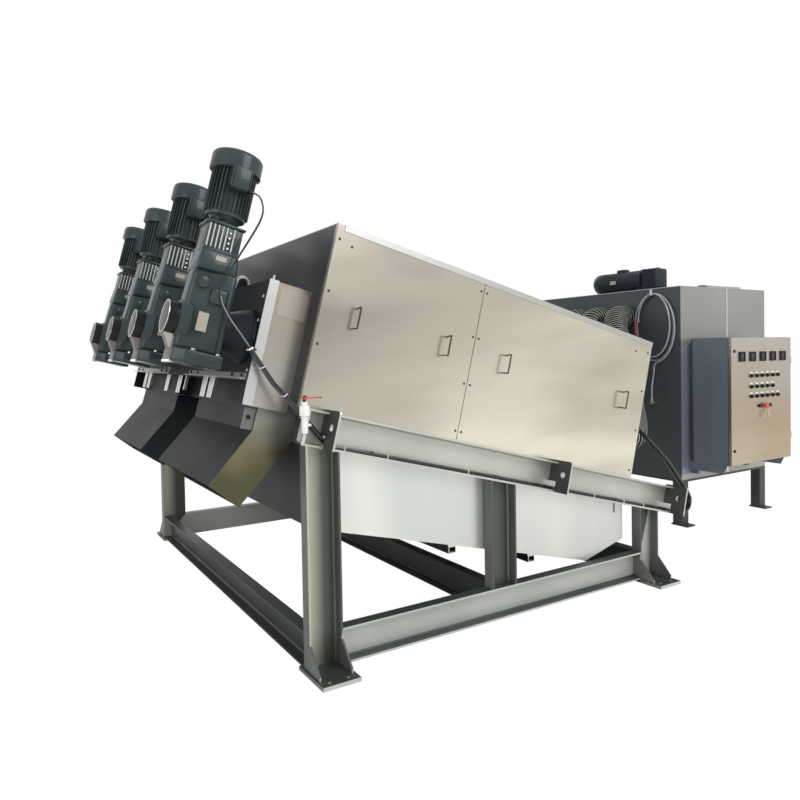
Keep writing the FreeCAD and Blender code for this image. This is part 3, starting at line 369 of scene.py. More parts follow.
class Bench:
    """Modelling steps as by hand: a primitive at its place, shaped in edit mode and by modifiers."""

    @staticmethod
    def clear() -> None:
        """Deselects everything in object mode."""
        if bpy.context.object and bpy.context.object.mode != "OBJECT":
            bpy.ops.object.mode_set(mode="OBJECT")
        bpy.ops.object.select_all(action="DESELECT")

    @staticmethod
    def settle(obj: Obj, matrix: Matrix = Matrix.Identity(4)) -> Obj:
        """Puts an object's place, then a matrix, into its mesh."""
        obj.data.transform(matrix @ obj.matrix_basis)
        obj.matrix_basis = Matrix.Identity(4)
        obj.data.update()
        return obj

    @staticmethod
    def pick(obj: Obj) -> Obj:
        """Makes an object the only selected and active one."""
        Bench.clear()
        obj.select_set(True)
        bpy.context.view_layer.objects.active = obj
        return obj

    @staticmethod
    @contextmanager
    def editing(obj: Obj) -> Iterator[Obj]:
        """Edit mode on one object, with nothing selected and faces to be picked."""
        Bench.pick(obj)
        bpy.ops.object.mode_set(mode="EDIT")
        bpy.ops.mesh.select_mode(type="FACE")
        bpy.ops.mesh.select_all(action="DESELECT")
        yield obj
        bpy.ops.object.mode_set(mode="OBJECT")

    @staticmethod
    def faces(obj: Obj, test: Callable[[Vector, Vector], bool]) -> None:
        """Selects the faces whose middle and normal pass a test, in edit mode."""
        mesh = bmesh.from_edit_mesh(obj.data)
        for face in mesh.faces:
            face.select_set(bool(test(face.calc_center_median(), face.normal)))
        bmesh.update_edit_mesh(obj.data)

    @staticmethod
    def block(name: str, low: Place, high: Place, edge: float = 0.0, steps: int = 2) -> Obj:
        """Box between two corners with rounded edges.

        Args:
            name: the piece's name.
            low: lowest corner.
            high: highest corner.
            edge: radius of the edges.
            steps: segments of each rounded edge.

        Returns:
            The piece.
        """
        low, high = Vector(low), Vector(high)
        Bench.clear()
        bpy.ops.mesh.primitive_cube_add(size=1, location=(low + high) / 2)
        obj = bpy.context.object
        obj.name = name
        obj.scale = high - low
        Bench.settle(obj, Matrix.Translation((low + high) / 2) @ Matrix.Diagonal((*(high - low), 1)) @ obj.matrix_basis.inverted())
        if edge:
            Bench.bevel(obj, edge, steps)
        return obj

    @staticmethod
    def bevel(obj: Obj, width: float, steps: int = 2, angle: float = 30.0) -> Obj:
        """Rounds the sharp edges of a piece with an applied Bevel modifier."""
        Bench.pick(obj)
        mod = obj.modifiers.new("edge", "BEVEL")
        mod.width = width
        mod.segments = steps
        mod.limit_method = "ANGLE"
        mod.angle_limit = math.radians(angle)
        bpy.ops.object.modifier_apply(modifier=mod.name)
        return obj

    @staticmethod
    def turned(name: str, profile: Sequence[tuple[float, float]], sides: int = 32) -> Obj:
        """Round piece about +Z: a disc drawn up through its profile by extrudes and resizes.

        Args:
            name: the piece's name.
            profile: (height, radius) pairs from the foot to the top.
            sides: corners of each circle.

        Returns:
            The piece, with its foot at the first height.
        """
        height, radius = profile[0]
        Bench.clear()
        bpy.ops.mesh.primitive_circle_add(vertices=sides, radius=radius, fill_type="NGON", location=(0, 0, 0))
        obj = bpy.context.object
        obj.name = name
        Bench.settle(obj, Matrix.Translation((0, 0, height)))
        with Bench.editing(obj):
            bpy.ops.mesh.select_all(action="SELECT")
            for next_height, next_radius in profile[1:]:
                step = {"value": (0, 0, next_height - height)}
                bpy.ops.mesh.extrude_region_move(TRANSFORM_OT_translate=step)
                if abs(next_radius - radius) > 1e-6:
                    ratio = next_radius / radius
                    bpy.ops.transform.resize(value=(ratio, ratio, 1), center_override=(0, 0, next_height))
                height, radius = next_height, next_radius
            bpy.ops.mesh.select_all(action="SELECT")
            bpy.ops.mesh.normals_make_consistent(inside=False)
        return obj

    @staticmethod
    def rod(name: str, radius: float, start: Vector, end: Vector, sides: int = 24, edge: float = 0.0) -> Obj:
        """Straight round bar between two points."""
        length = (end - start).length
        profile = [(0, radius), (length, radius)]
        if edge:
            profile = [(0, radius - edge), (edge, radius), (length - edge, radius), (length, radius - edge)]
        obj = Bench.turned(name, profile, sides)
        turn = Vector((0, 0, 1)).rotation_difference(end - start).to_matrix().to_4x4()
        return Bench.settle(obj, Matrix.Translation(start) @ turn)

    @staticmethod
    def line(name: str, points: Sequence[Vector], radius: float, order: int = 3, sides: int = 4) -> Obj:
        """Round cable or bent bar along a smooth route, as a mesh."""
        curve = Bench.route(name, points, order)
        curve.data.bevel_depth = radius
        curve.data.bevel_resolution = sides
        Bench.pick(curve)
        bpy.ops.object.convert(target="MESH")
        return bpy.context.object

    @staticmethod
    def route(name: str, points: Sequence[Vector], order: int = 3, detail: int = 8) -> Obj:
        """Open smooth curve through the row frame with these control points."""
        data = bpy.data.curves.new(name, "CURVE")
        data.dimensions = "3D"
        data.resolution_u = detail
        data.use_fill_caps = True
        spline = data.splines.new("NURBS")
        spline.points.add(len(points) - 1)
        for knot, point in zip(spline.points, points):
            knot.co = (*point, 1.0)
        spline.order_u = order
        spline.use_endpoint_u = True
        obj = bpy.data.objects.new(name, data)
        bpy.context.collection.objects.link(obj)
        return obj

    @staticmethod
    def copy(obj: Obj, name: str, matrix: Matrix) -> Obj:
        """A copy with its own mesh, moved by a matrix."""
        twin = obj.copy()
        twin.data = obj.data.copy()
        twin.name = name
        bpy.context.collection.objects.link(twin)
        twin.data.transform(matrix)
        return twin

    @staticmethod
    def joined(name: str, parts: Sequence[Obj]) -> Obj:
        """Several pieces as one."""
        Bench.pick(parts[0])
        for part in parts[1:]:
            part.select_set(True)
        if len(parts) > 1:
            bpy.ops.object.join()
        bpy.context.object.name = name
        return bpy.context.object

    @staticmethod
    def row(obj: Obj, name: str, matrices: Sequence[Matrix]) -> Obj:
        """One piece made of copies of a model, which is used up."""
        parts = [Bench.copy(obj, f"{name}.{i}", matrix) for i, matrix in enumerate(matrices)]
        bpy.data.objects.remove(obj)
        return Bench.joined(name, parts)

    @staticmethod
    def smooth(obj: Obj, angle: float = 35.0) -> Obj:
        """Smooth shading below that edge angle."""
        Bench.pick(obj)
        bpy.ops.object.shade_smooth_by_angle(angle=math.radians(angle))
        return obj


def shift(x: float, y: float, z: float) -> Matrix:
    """Move by that much."""
    return Matrix.Translation((x, y, z))


def spun(angle: float, axis: Axis) -> Matrix:
    """Turn about a row axis through the origin, in degrees."""
    return Matrix.Rotation(math.radians(angle), 4, axis.value)


def done(obj: Obj, finish: Finish, body: Body = Body.MACHINE, replaces: Sequence[str] = ()) -> Obj:
    """Gives a piece its finish and its body and reports it.

    Args:
        obj: the piece, in place.
        finish: its finish.
        body: the body that it rides on.
        replaces: CAD nodes that it stands for.

    Returns:
        The piece.
    """
    obj.data.materials.clear()
    obj.data.materials.append(finish.material())
    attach(obj, body.value)
    if replaces:
        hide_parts(*replaces)
    log.info("%s: %s on %s", obj.name, finish.name, body.value)
    return obj


def paint(node: str, *finishes: Finish,
          pick: Callable[[Vector, Vector], int] = lambda middle, normal: 0) -> None:
    """Finishes a CAD node.

    Args:
        node: name of the CAD node.
        finishes: the finishes that its faces can have.
        pick: takes a face's middle and normal and gives the number of its finish.
    """
    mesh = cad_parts[node].data
    mesh.materials.clear()
    for finish in finishes:
        mesh.materials.append(finish.material())
    for face in mesh.polygons:
        face.material_index = pick(face.center, face.normal)
    log.info("%s: %s", node, ", ".join(finish.name for finish in finishes))


@dataclass
class Framework:
    """Channel frame, rails and cross beams."""

    beam_top: float = 0.210
    strap_a: float = 0.040
    strap_y: float = 0.010

    def dress(self) -> None:
        """Paints the frame's nodes: lit webs, and painted shade on the flanges and the cross beams."""
        for side in ("near", "far"):
            paint("base_frame_" + side, LEG_STEEL, FLANGE_SHADE_GREY, BEAM_STEEL, SHADE_DARK_GREY, pick=self.frame_face)
            paint("rail_" + side, RAIL_STEEL, SHADE_DARK_GREY, BRIGHT_STEEL, pick=self.rail_face)
        for beam in ("front", "mid", "rear"):
            # Cross beams in painted shade.
            paint("cross_beam_" + beam, SHADE_DARK_GREY)

    def frame_face(self, middle: Vector, normal: Vector) -> int:
        """0 on a leg's lit web, 1 painted shade on a side, 2 on the beam's web, 3 painted shade on a top."""
        if abs(normal.x) > 0.6:
            return 1
        if abs(normal.z) > 0.6:
            return 3
        return 2 if middle.z < self.beam_top else 0

    def rail_face(self, middle: Vector, normal: Vector) -> int:
        """0 on the rail, 1 painted shade on lugs and ends, 2 on the strap over the front mouth."""
        spot = SLOPE.local(middle)
        if spot.x < self.strap_a and spot.y < self.strap_y:
            return 2
        return 1 if abs(normal.x) > 0.6 else 0


@dataclass
class Cover:
    """Inclined sheet cover with its screws and pull handles."""

    face_y: float = 0.062
    screw_rows: tuple[float, ...] = (0.050, 0.317, 0.585, 0.852)
    screw_columns: tuple[float, ...] = (0.023, 0.944, 0.986, 2.420)
    screw_radius: float = 0.0065
    handle_places: tuple[float, ...] = (0.194, 0.765, 1.201, 2.232)
    handle_foot: float = 0.435
    handle_length: float = 0.110
    handle_reach: float = 0.050
    handle_radius: float = 0.0048

    def dress(self) -> None:
        """Paints the sheets and adds the screws and handles of both sides."""
        for node in ("cover_panel_near_front", "cover_panel_near_rear", "cover_panel_far_front",
                     "cover_panel_far_rear"):
            paint(node, COVER_STEEL)
        paint("cover_lid", LID_STEEL)
        # End plates in painted shade.
        paint("cover_front_plate", COVER_END_SHADE)
        paint("cover_rear_plate", COVER_END_SHADE)
        for tag, y, way in (("near", self.face_y, -1), ("far", FRAME_WIDTH - self.face_y, 1)):
            self.screws(tag, y, way)
            self.handles(tag, y, way)

    def screws(self, tag: str, y: float, way: int) -> None:
        """Button-head screws along the panels' edges."""
        r = self.screw_radius
        head = Bench.turned("head", [(0, r), (0.002, r), (0.0036, 0.7 * r), (0.0042, 0.35 * r)], 16)
        Bench.settle(head, spun(-90.0 * way, Axis.X))
        spots = [(a, b) for a in self.screw_columns for b in self.screw_rows]
        spots += [(0.098, 0.834), (2.300, 0.834)]
        matrices = [SLOPE.matrix() @ shift(a, y, b) for a, b in spots]
        done(Bench.smooth(Bench.row(head, "cover_screws_" + tag, matrices)), SCREW_STEEL)

    def handles(self, tag: str, y: float, way: int) -> None:
        """Bow handles: one is bent from round bar and copied."""
        reach = way * self.handle_reach
        lean = 0.006
        b0, b1 = self.handle_foot, self.handle_foot + self.handle_length
        corner = 0.012
        points = [(lean, 0, b0 + 0.004), (0, reach - way * corner, b0), (0, reach, b0), (0, reach, b0 + corner),
                  (0, reach, b1 - corner), (0, reach, b1), (0, reach - way * corner, b1), (lean, 0, b1 - 0.004)]
        bow = Bench.line("bow", [Vector(p) for p in points], self.handle_radius, 3, 3)
        matrices = [SLOPE.matrix() @ shift(a, y, 0) for a in self.handle_places]
        # Handles in painted shade.
        done(Bench.smooth(Bench.row(bow, "cover_handles_" + tag, matrices)), HANDLE_SHADE_STEEL)


@dataclass
class Discharge:
    """Bulkhead housing and the two chutes under it."""

    bulk_a: float = -0.234
    side_y: float = 0.200
    ledge_top: float = 0.112
    bolt_radius: float = 0.009
    arch_y: float = 0.740

    def dress(self) -> None:
        """Paints the sheets and adds bolts, the arch, the bracket and the stud."""
        # Housing: painted sheen on the side sheets, painted shade on the bulkhead and inside.
        paint("discharge_housing", BEIGE_SHEEN, NAVY_SHADE, BRIGHT_STEEL, LEDGE_STEEL, pick=self.housing_face)
        # Chute 1: painted shade on all but its side faces; chute 2 is all in painted shade.
        paint("discharge_chute_1", CHUTE_SIDE, CHUTE_SHADE, pick=lambda middle, normal: int(abs(normal.y) < 0.5))
        paint("discharge_chute_2", CHUTE_SHADE)
        self.bolts()
        self.plates()
        self.strips()
        self.arch()

    def housing_face(self, middle: Vector, normal: Vector) -> int:
        """0 painted sheen on a side sheet, 1 painted shade on the bulkhead and inside, 2 on bands and hangers, 3 on the
        ledge.
        """
        spot = SLOPE.local(middle)
        edge = min(spot.y, FRAME_WIDTH - spot.y)
        if edge < self.side_y - 0.0005:
            return 2
        if spot.z < 0.0745 and edge > self.side_y + 0.05 and spot.x < self.bulk_a + 0.0175:
            return 2
        if spot.x < self.bulk_a - 0.0005 and spot.z < self.ledge_top:
            return 3
        return 0 if abs(normal.y) > 0.5 and edge < self.side_y + 0.003 else 1

    def bolts(self) -> None:
        """Hexagon heads on the bulkhead and its ledge, and a stud on its near top corner."""
        r = self.bolt_radius
        head = Bench.turned("head", [(0, r), (0.005, r), (0.007, 0.8 * r)], 6)
        Bench.settle(head, spun(-90, Axis.Y))
        inset = 0.028
        ys = [self.side_y + inset, FRAME_WIDTH - self.side_y - inset]
        spots = [(self.bulk_a - 0.005, y + side, 0.098) for y in SCREW_Y for side in (-0.075, 0.075)]
        matrices = [SLOPE.matrix() @ shift(a, y, b) for a, y, b in spots]
        edge = [SLOPE.matrix() @ shift(self.bulk_a, y, b) for y in ys for b in (0.123, 0.374, 0.496)]
        done(Bench.row(Bench.copy(head, "edge_head", Matrix.Identity(4)), "bulkhead_bolts", edge), BRIGHT_STEEL)
        done(Bench.row(head, "ledge_bolts", matrices), SCREW_STEEL)
        r = 0.008
        profile = [(0, 1.5 * r), (0.008, 1.5 * r), (0.008, 0.8 * r), (0.030, 0.8 * r), (0.032, 0.6 * r)]
        stud = Bench.turned("bulkhead_stud", profile, 16)
        Bench.settle(stud, SLOPE.matrix() @ shift(self.bulk_a + 0.03, self.side_y + 0.03, 0.581))
        done(stud, BRIGHT_STEEL)

    def plates(self) -> None:
        """Bare plate on the near side sheet, and the chute's bracket with its bolt."""
        t = 0.0012
        sheet = Bench.block("side_plate", (-0.165, self.side_y - t, 0.420), (-0.012, self.side_y, 0.560), 0.0005, 1)
        done(Bench.settle(sheet, SLOPE.matrix()), PLATE)
        chute_y = 0.2248
        bracket = Bench.block("chute_bracket", (-0.208, chute_y - 0.004, -0.160), (-0.150, chute_y, -0.052), 0.002, 1)
        done(Bench.settle(bracket, SLOPE.matrix()), FLANGE_SHADE_GREY)
        bolt = Bench.turned("bracket_bolt", [(0, 0.011), (0.008, 0.011), (0.011, 0.008)], 6)
        Bench.settle(bolt, SLOPE.matrix() @ shift(-0.182, chute_y - 0.004, -0.099) @ spun(90, Axis.X))
        done(bolt, BLACK_GLOSS)

    def strips(self) -> None:
        """Flat bars that hang from the ledge, in pairs and alone."""
        strip = Bench.block("strip", (self.bulk_a - 0.0052, -0.042, -0.038), (self.bulk_a - 0.0012, 0.042, 0.074), 0.001, 1)
        places = [SLOPE.matrix() @ shift(0, y, 0) for y in (0.750, 0.880, 1.430, 1.740, 2.300, 2.430)]
        done(Bench.row(strip, "ledge_strips", places), BRIGHT_STEEL)

    def arch(self) -> None:
        """Small arched handle on the housing's top edge, with a plate in it."""
        low, high, half, middle = 0.585, 0.655, 0.040, -0.194
        points = [(middle - half, low), (middle - half, high - 0.03), (middle - half * 0.5, high),
                  (middle + half * 0.5, high), (middle + half, high - 0.03), (middle + half, low)]
        rim = Bench.line("arch_rim", [Vector((a, self.arch_y, b)) for a, b in points], 0.011, 3, 3)
        done(Bench.smooth(Bench.settle(rim, SLOPE.matrix())), LEDGE_STEEL)
        fill = Bench.block("arch_plate", (middle - half + 0.004, self.arch_y - 0.003, low),
                           (middle + half - 0.004, self.arch_y + 0.003, high - 0.012), 0.001, 1)
        # Plate inside the arch in painted shade.
        done(Bench.settle(fill, SLOPE.matrix()), NAVY_SHADE)


@dataclass
class GearMotor:
    """Right-angle gear unit and its upright finned motor, modelled once and copied to each screw."""

    motor_a: float = -0.475
    case_a0: float = -0.590
    case_a1: float = -0.370
    case_b1: float = 0.560
    half: float = 0.115
    foot_b0: float = 0.088
    foot_b1: float = 0.156
    stage_b0: float = 0.650
    stage_b1: float = 0.780
    motor_b0: float = 0.830
    fan_b: float = 1.066
    motor_b1: float = 1.1595
    fan_radius: float = 0.127
    body_radius: float = 0.110
    fin_count: int = 32
    fin_height: float = 0.013
    bulk_a: float = -0.234
    parts: list[tuple[Obj, Finish, str]] = field(default_factory=list)

    def dress(self) -> None:
        """Models the unit about the first screw's axis and copies it to the four screws."""
        self.case()
        self.foot()
        self.drum()
        self.nose()
        self.first_stage()
        self.motor()
        self.terminal_box()
        for index, y in enumerate(SCREW_Y):
            for obj, finish, node in self.parts:
                name = f"{obj.name}_{index + 1}"
                twin = Bench.copy(obj, name, SLOPE.matrix() @ shift(0, y, 0))
                names = [f"{node}_{index + 1}"] if node else []
                slot = "drive_paint" if finish == GEAR_PAINT else ""
                done(twin, finish, replaces=names)
        for obj, finish, node in self.parts:
            bpy.data.objects.remove(obj)

    def keep(self, obj: Obj, finish: Finish, node: str = "", angle: float = 35.0) -> None:
        """Keeps a piece of the unit for copying."""
        self.parts.append((Bench.smooth(obj, angle), finish, node))

    def case(self) -> None:
        """Cast gear case: block with cut front edges, a raised field, a ridge, a round boss and a shoulder."""
        a0, a1, b1, half = self.case_a0, self.case_a1, self.case_b1, self.half
        low = self.foot_b1 - 0.006
        body = Bench.block("gear_case", (a0, -half, low), (a1, half, b1))
        with Bench.editing(body):
            Bench.faces(body, lambda middle, normal: normal.x < -0.9)
            bpy.ops.transform.resize(value=(1, 0.60, 1), center_override=(a0, 0, SCREW_B))
            Bench.faces(body, lambda middle, normal: normal.z > 0.9)
            bpy.ops.transform.resize(value=(0.92, 0.92, 1), center_override=(self.case_a1, 0, b1))
        Bench.bevel(body, 0.026, 4)
        recess = Bench.block("recess", (a1 - 0.112, -half - 0.003, 0.392), (a1 - 0.030, half + 0.003, 0.470), 0.014, 3)
        ridge = Bench.block("ridge", (a1 - 0.034, -half - 0.006, low + 0.02), (a1 - 0.020, half + 0.006, b1 - 0.09), 0.005)
        boss = Bench.turned("boss", [(0, 0.112), (0.016, 0.104), (0.034, 0.096), (0.046, 0.090)], 48)
        Bench.settle(boss, shift(a0 + 0.042, 0, SCREW_B) @ spun(-90, Axis.Y))
        plug = Bench.turned("plug", [(0, 0.026), (0.008, 0.026), (0.010, 0.020)], 32)
        rounds = []
        for way in (-1, 1):
            turn = spun(-90 * way, Axis.X)
            rounds.append(Bench.copy(plug, "plug", shift(a0 + 0.064, way * (half - 0.026), 0.485) @ turn))
        bpy.data.objects.remove(plug)
        m = self.motor_a
        neck = Bench.block("shoulder", (m - 0.100, -0.100, b1 - 0.012), (m + 0.100, 0.100, self.stage_b0 + 0.002))
        with Bench.editing(neck):
            Bench.faces(neck, lambda middle, normal: normal.z > 0.9)
            bpy.ops.transform.resize(value=(0.90, 0.88, 1), center_override=(m, 0, self.stage_b0))
        Bench.bevel(neck, 0.016, 3)
        whole = Bench.joined("gear_case", [body, recess, ridge, boss, neck] + rounds)
        self.keep(whole, GEAR_PAINT, "gearbox")
        plate = Bench.block("gear_plate", (a0 + 0.068, -half - 0.0022, 0.250), (a0 + 0.118, -half + 0.001, 0.342), 0.0005, 1)
        self.keep(plate, PLATE)
        tag = Bench.block("shoulder_plate", (m - 0.022, -0.0965, b1 + 0.042), (m + 0.030, -0.090, b1 + 0.066), 0.0005, 1)
        self.keep(tag, PLATE)

    def foot(self) -> None:
        """Thick foot slab with its bolts, the knurled strip at its front and the ribs under the drum."""
        a0, a1, b0, b1 = self.case_a0, self.case_a1, self.foot_b0, self.foot_b1
        reach = self.half + 0.012
        slab = Bench.block("gear_foot", (a0 + 0.052, -reach, b0), (a1 + 0.010, reach, b1))
        with Bench.editing(slab):
            Bench.faces(slab, lambda middle, normal: normal.x < -0.9)
            bpy.ops.mesh.extrude_region_move(TRANSFORM_OT_translate={"value": (-0.056, 0, 0)})
            bpy.ops.transform.resize(value=(1, 0.62, 1), center_override=(a0, 0, b0))
        Bench.bevel(slab, 0.008, 3)
        self.keep(slab, GEAR_PAINT)
        bolt = Bench.turned("bolt", [(0, 0.011), (0.009, 0.011), (0.011, 0.008)], 6)
        spots = [(a, way * (reach - 0.012)) for a in (a0 + 0.08, a1 - 0.02) for way in (-1, 1)]
        self.keep(Bench.row(bolt, "foot_bolts", [shift(a, y, b1 - 0.001) for a, y in spots]), BRIGHT_STEEL)
        tooth = Bench.block("tooth", (a0 - 0.008, -0.005, b0 - 0.008), (a0 + 0.012, 0.005, b0 + 0.006), 0.002, 1)
        teeth = [shift(0, (i - 4) * 0.016, 0) for i in range(9)]
        self.keep(Bench.row(tooth, "foot_strip", teeth), BRIGHT_STEEL)
        rib = Bench.block("rib", (a0 - 0.052, -0.003, SCREW_B - 0.150), (a0 + 0.004, 0.003, SCREW_B - 0.074))
        with Bench.editing(rib):
            Bench.faces(rib, lambda middle, normal: normal.z < -0.9)
            bpy.ops.transform.resize(value=(0.2, 1, 1), center_override=(a0 + 0.004, 0, SCREW_B - 0.150))
        ribs = [shift(0, (i - 1.5) * 0.018, 0) for i in range(4)]
        self.keep(Bench.row(rib, "drum_ribs", ribs), LEDGE_STEEL)

    def drum(self) -> None:
        """Black cover of the hollow shaft with a thin bright rim on its face."""
        out = 0.058
        turn = shift(self.case_a0, 0, SCREW_B) @ spun(-90, Axis.Y)
        shell = Bench.turned("shaft_drum", [(-0.02, 0.0825), (out - 0.010, 0.0825), (out - 0.003, 0.0795)], 48)
        self.keep(Bench.settle(shell, turn), BLACK_GLOSS)
        profile = [(out - 0.004, 0.0812), (out - 0.001, 0.0812), (out - 0.001, 0.0765), (out - 0.005, 0.0755)]
        self.keep(Bench.settle(Bench.turned("drum_rim", profile, 48), turn), BRIGHT_STEEL)
        profile = [(out - 0.012, 0.0758), (out - 0.005, 0.0758), (out - 0.001, 0.050), (out - 0.001, 0.016)]
        self.keep(Bench.settle(Bench.turned("drum_face", profile, 40), turn), BLACK_GLOSS)

    def nose(self) -> None:
        """Smooth output cone and its flange on the bulkhead."""
        reach = self.bulk_a - self.case_a1
        profile = [(-0.02, 0.096), (0.010, 0.096), (0.030, 0.100), (reach - 0.020, 0.134), (reach - 0.018, 0.140),
                   (reach - 0.002, 0.140), (reach, 0.138)]
        nose = Bench.turned("output_nose", profile, 48)
        # Nose in painted shade.
        self.keep(Bench.settle(nose, shift(self.case_a1, 0, SCREW_B) @ spun(90, Axis.Y)), NOSE_SHADE)

    def first_stage(self) -> None:
        """Upright first stage: ribbed block under a cap plate, and the round neck with its glints."""
        b0, b1, a = self.stage_b0, self.stage_b1, self.motor_a
        half_a, half_y = 0.086, 0.078
        core = Bench.block("stage", (a - half_a, -half_y, b0), (a + half_a, half_y, b1), 0.006, 2)
        base = Bench.block("base", (a - half_a - 0.004, -half_y - 0.009, b0 - 0.006), (a + half_a + 0.004, half_y + 0.009, b0 + 0.008), 0.004)
        cap = Bench.block("cap", (a - half_a - 0.009, -half_y - 0.009, b1), (a + half_a + 0.009, half_y + 0.009, b1 + 0.012), 0.004)
        profile = [(b1 + 0.010, 0.084), (b1 + 0.016, 0.078), (b1 + 0.024, 0.070), (self.motor_b0 - 0.010, 0.070),
                   (self.motor_b0 + 0.002, 0.080)]
        neck = Bench.settle(Bench.turned("neck", profile, 40), shift(a, 0, 0))
        self.keep(Bench.joined("first_stage", [core, base, cap, neck]), GEAR_PAINT)
        rib = Bench.block("rib", (-0.0038, -half_y - 0.009, b0 + 0.010), (0.0038, half_y + 0.009, b1 - 0.004), 0.002, 1)
        places = [shift(a + at, 0, 0) for at in (-0.078, -0.057, -0.036, -0.015, 0.006, 0.042)]
        # Ribs in a painted highlight.
        self.keep(Bench.row(rib, "stage_ribs", places), STAGE_RIB_HIGHLIGHT)
        bolt = Bench.turned("bolt", [(0, 0.0065), (0.006, 0.0065), (0.008, 0.004)], 12)
        spots = [(a + 0.024, way, b0 + 0.024 + 0.026 * i) for way in (-1, 1) for i in range(4)]
        heads = [shift(x, way * (half_y + 0.001), b) @ spun(-90 * way, Axis.X) for x, way, b in spots]
        self.keep(Bench.row(bolt, "stage_bolts", heads), BRIGHT_STEEL)
        rings = [(b1 + 0.012, 0.0785), (b1 + 0.015, 0.0785), (b1 + 0.015, 0.070), (b1 + 0.034, 0.070),
                 (b1 + 0.034, 0.0725), (b1 + 0.037, 0.0725), (b1 + 0.037, 0.068)]
        self.keep(Bench.settle(Bench.turned("neck_ring", rings, 40), shift(a, 0, 0)), SCREW_STEEL)

    def motor(self) -> None:
        """Motor: foot flange, finned barrel and wide fan cowl with a rounded top edge."""
        b0, fan, top, r = self.motor_b0, self.fan_b, self.motor_b1, self.body_radius
        cowl_r = self.fan_radius
        flange = Bench.turned("flange", [(b0, 0.094), (b0 + 0.003, 0.097), (b0 + 0.014, 0.097), (b0 + 0.018, 0.092)], 48)
        root = r - self.fin_height
        barrel = Bench.turned("barrel", [(b0 + 0.014, root), (fan + 0.004, root)], 48)
        fin = Bench.block("fin", (root - 0.004, -0.0022, b0 + 0.018), (r, 0.0022, fan - 0.002), 0.001, 1)
        fins = [Bench.copy(fin, "fin", spun(360.0 * i / self.fin_count, Axis.Z)) for i in range(self.fin_count)]
        bpy.data.objects.remove(fin)
        profile = [(fan - 0.004, cowl_r - 0.006), (fan, cowl_r)]
        round_edge = 0.026
        for i in range(5):
            turn = math.radians(22.5 * i)
            profile.append((top - round_edge + round_edge * math.sin(turn), cowl_r - round_edge + round_edge * math.cos(turn)))
        profile.append((top - 0.003, cowl_r - round_edge - 0.02))
        cowl = Bench.turned("cowl", profile, 48)
        for part in [flange, barrel, cowl] + fins:
            Bench.settle(part, shift(self.motor_a, 0, 0))
        self.keep(Bench.joined("motor_shell", [flange, barrel, cowl] + fins), GEAR_PAINT, "motor")

    def terminal_box(self) -> None:
        """Terminal box under the cowl, with seams, and its gland."""
        a, r = self.motor_a, self.body_radius
        low, high = 0.955, 1.064
        box = Bench.block("box", (a - 0.045, -r - 0.044, low), (a + 0.042, -r + 0.026, high), 0.008, 3)
        lid = Bench.block("lid", (a - 0.042, -r - 0.048, low + 0.004), (a + 0.039, -r - 0.040, high - 0.004), 0.003)
        seams = [Bench.block("seam", (x - 0.002, -r - 0.047, low + 0.006), (x + 0.002, -r + 0.020, high - 0.002), 0.001, 1)
                 for x in (a - 0.047, a + 0.044)]
        self.keep(Bench.joined("terminal_box", [box, lid] + seams), GEAR_PAINT)
        gland = Bench.turned("gland", [(0, 0.011), (0.008, 0.011), (0.010, 0.0085), (0.017, 0.0085), (0.020, 0.006)], 16)
        Bench.settle(gland, shift(a + 0.042, -r - 0.024, 0.966) @ spun(90, Axis.Y))
        self.keep(gland, BLACK_RUBBER)


@dataclass
class Tray:
    """Filtrate tray under the rails."""

    tube_rise: float = 0.002

    def dress(self) -> None:
        """Paints the sheet, with painted shade on its front end and in its tubes."""
        paint("filtrate_tray", TRAY_STEEL, NAVY_SHADE, pick=lambda middle, normal: int(normal.x < -0.6))


@dataclass
class Cylinders:
    """Ring stacks inside the cover."""

    def dress(self) -> None:
        """Paints the four stacks."""
        for n in range(1, 5):
            paint(f"disc_cylinder_{n}", BRIGHT_STEEL)


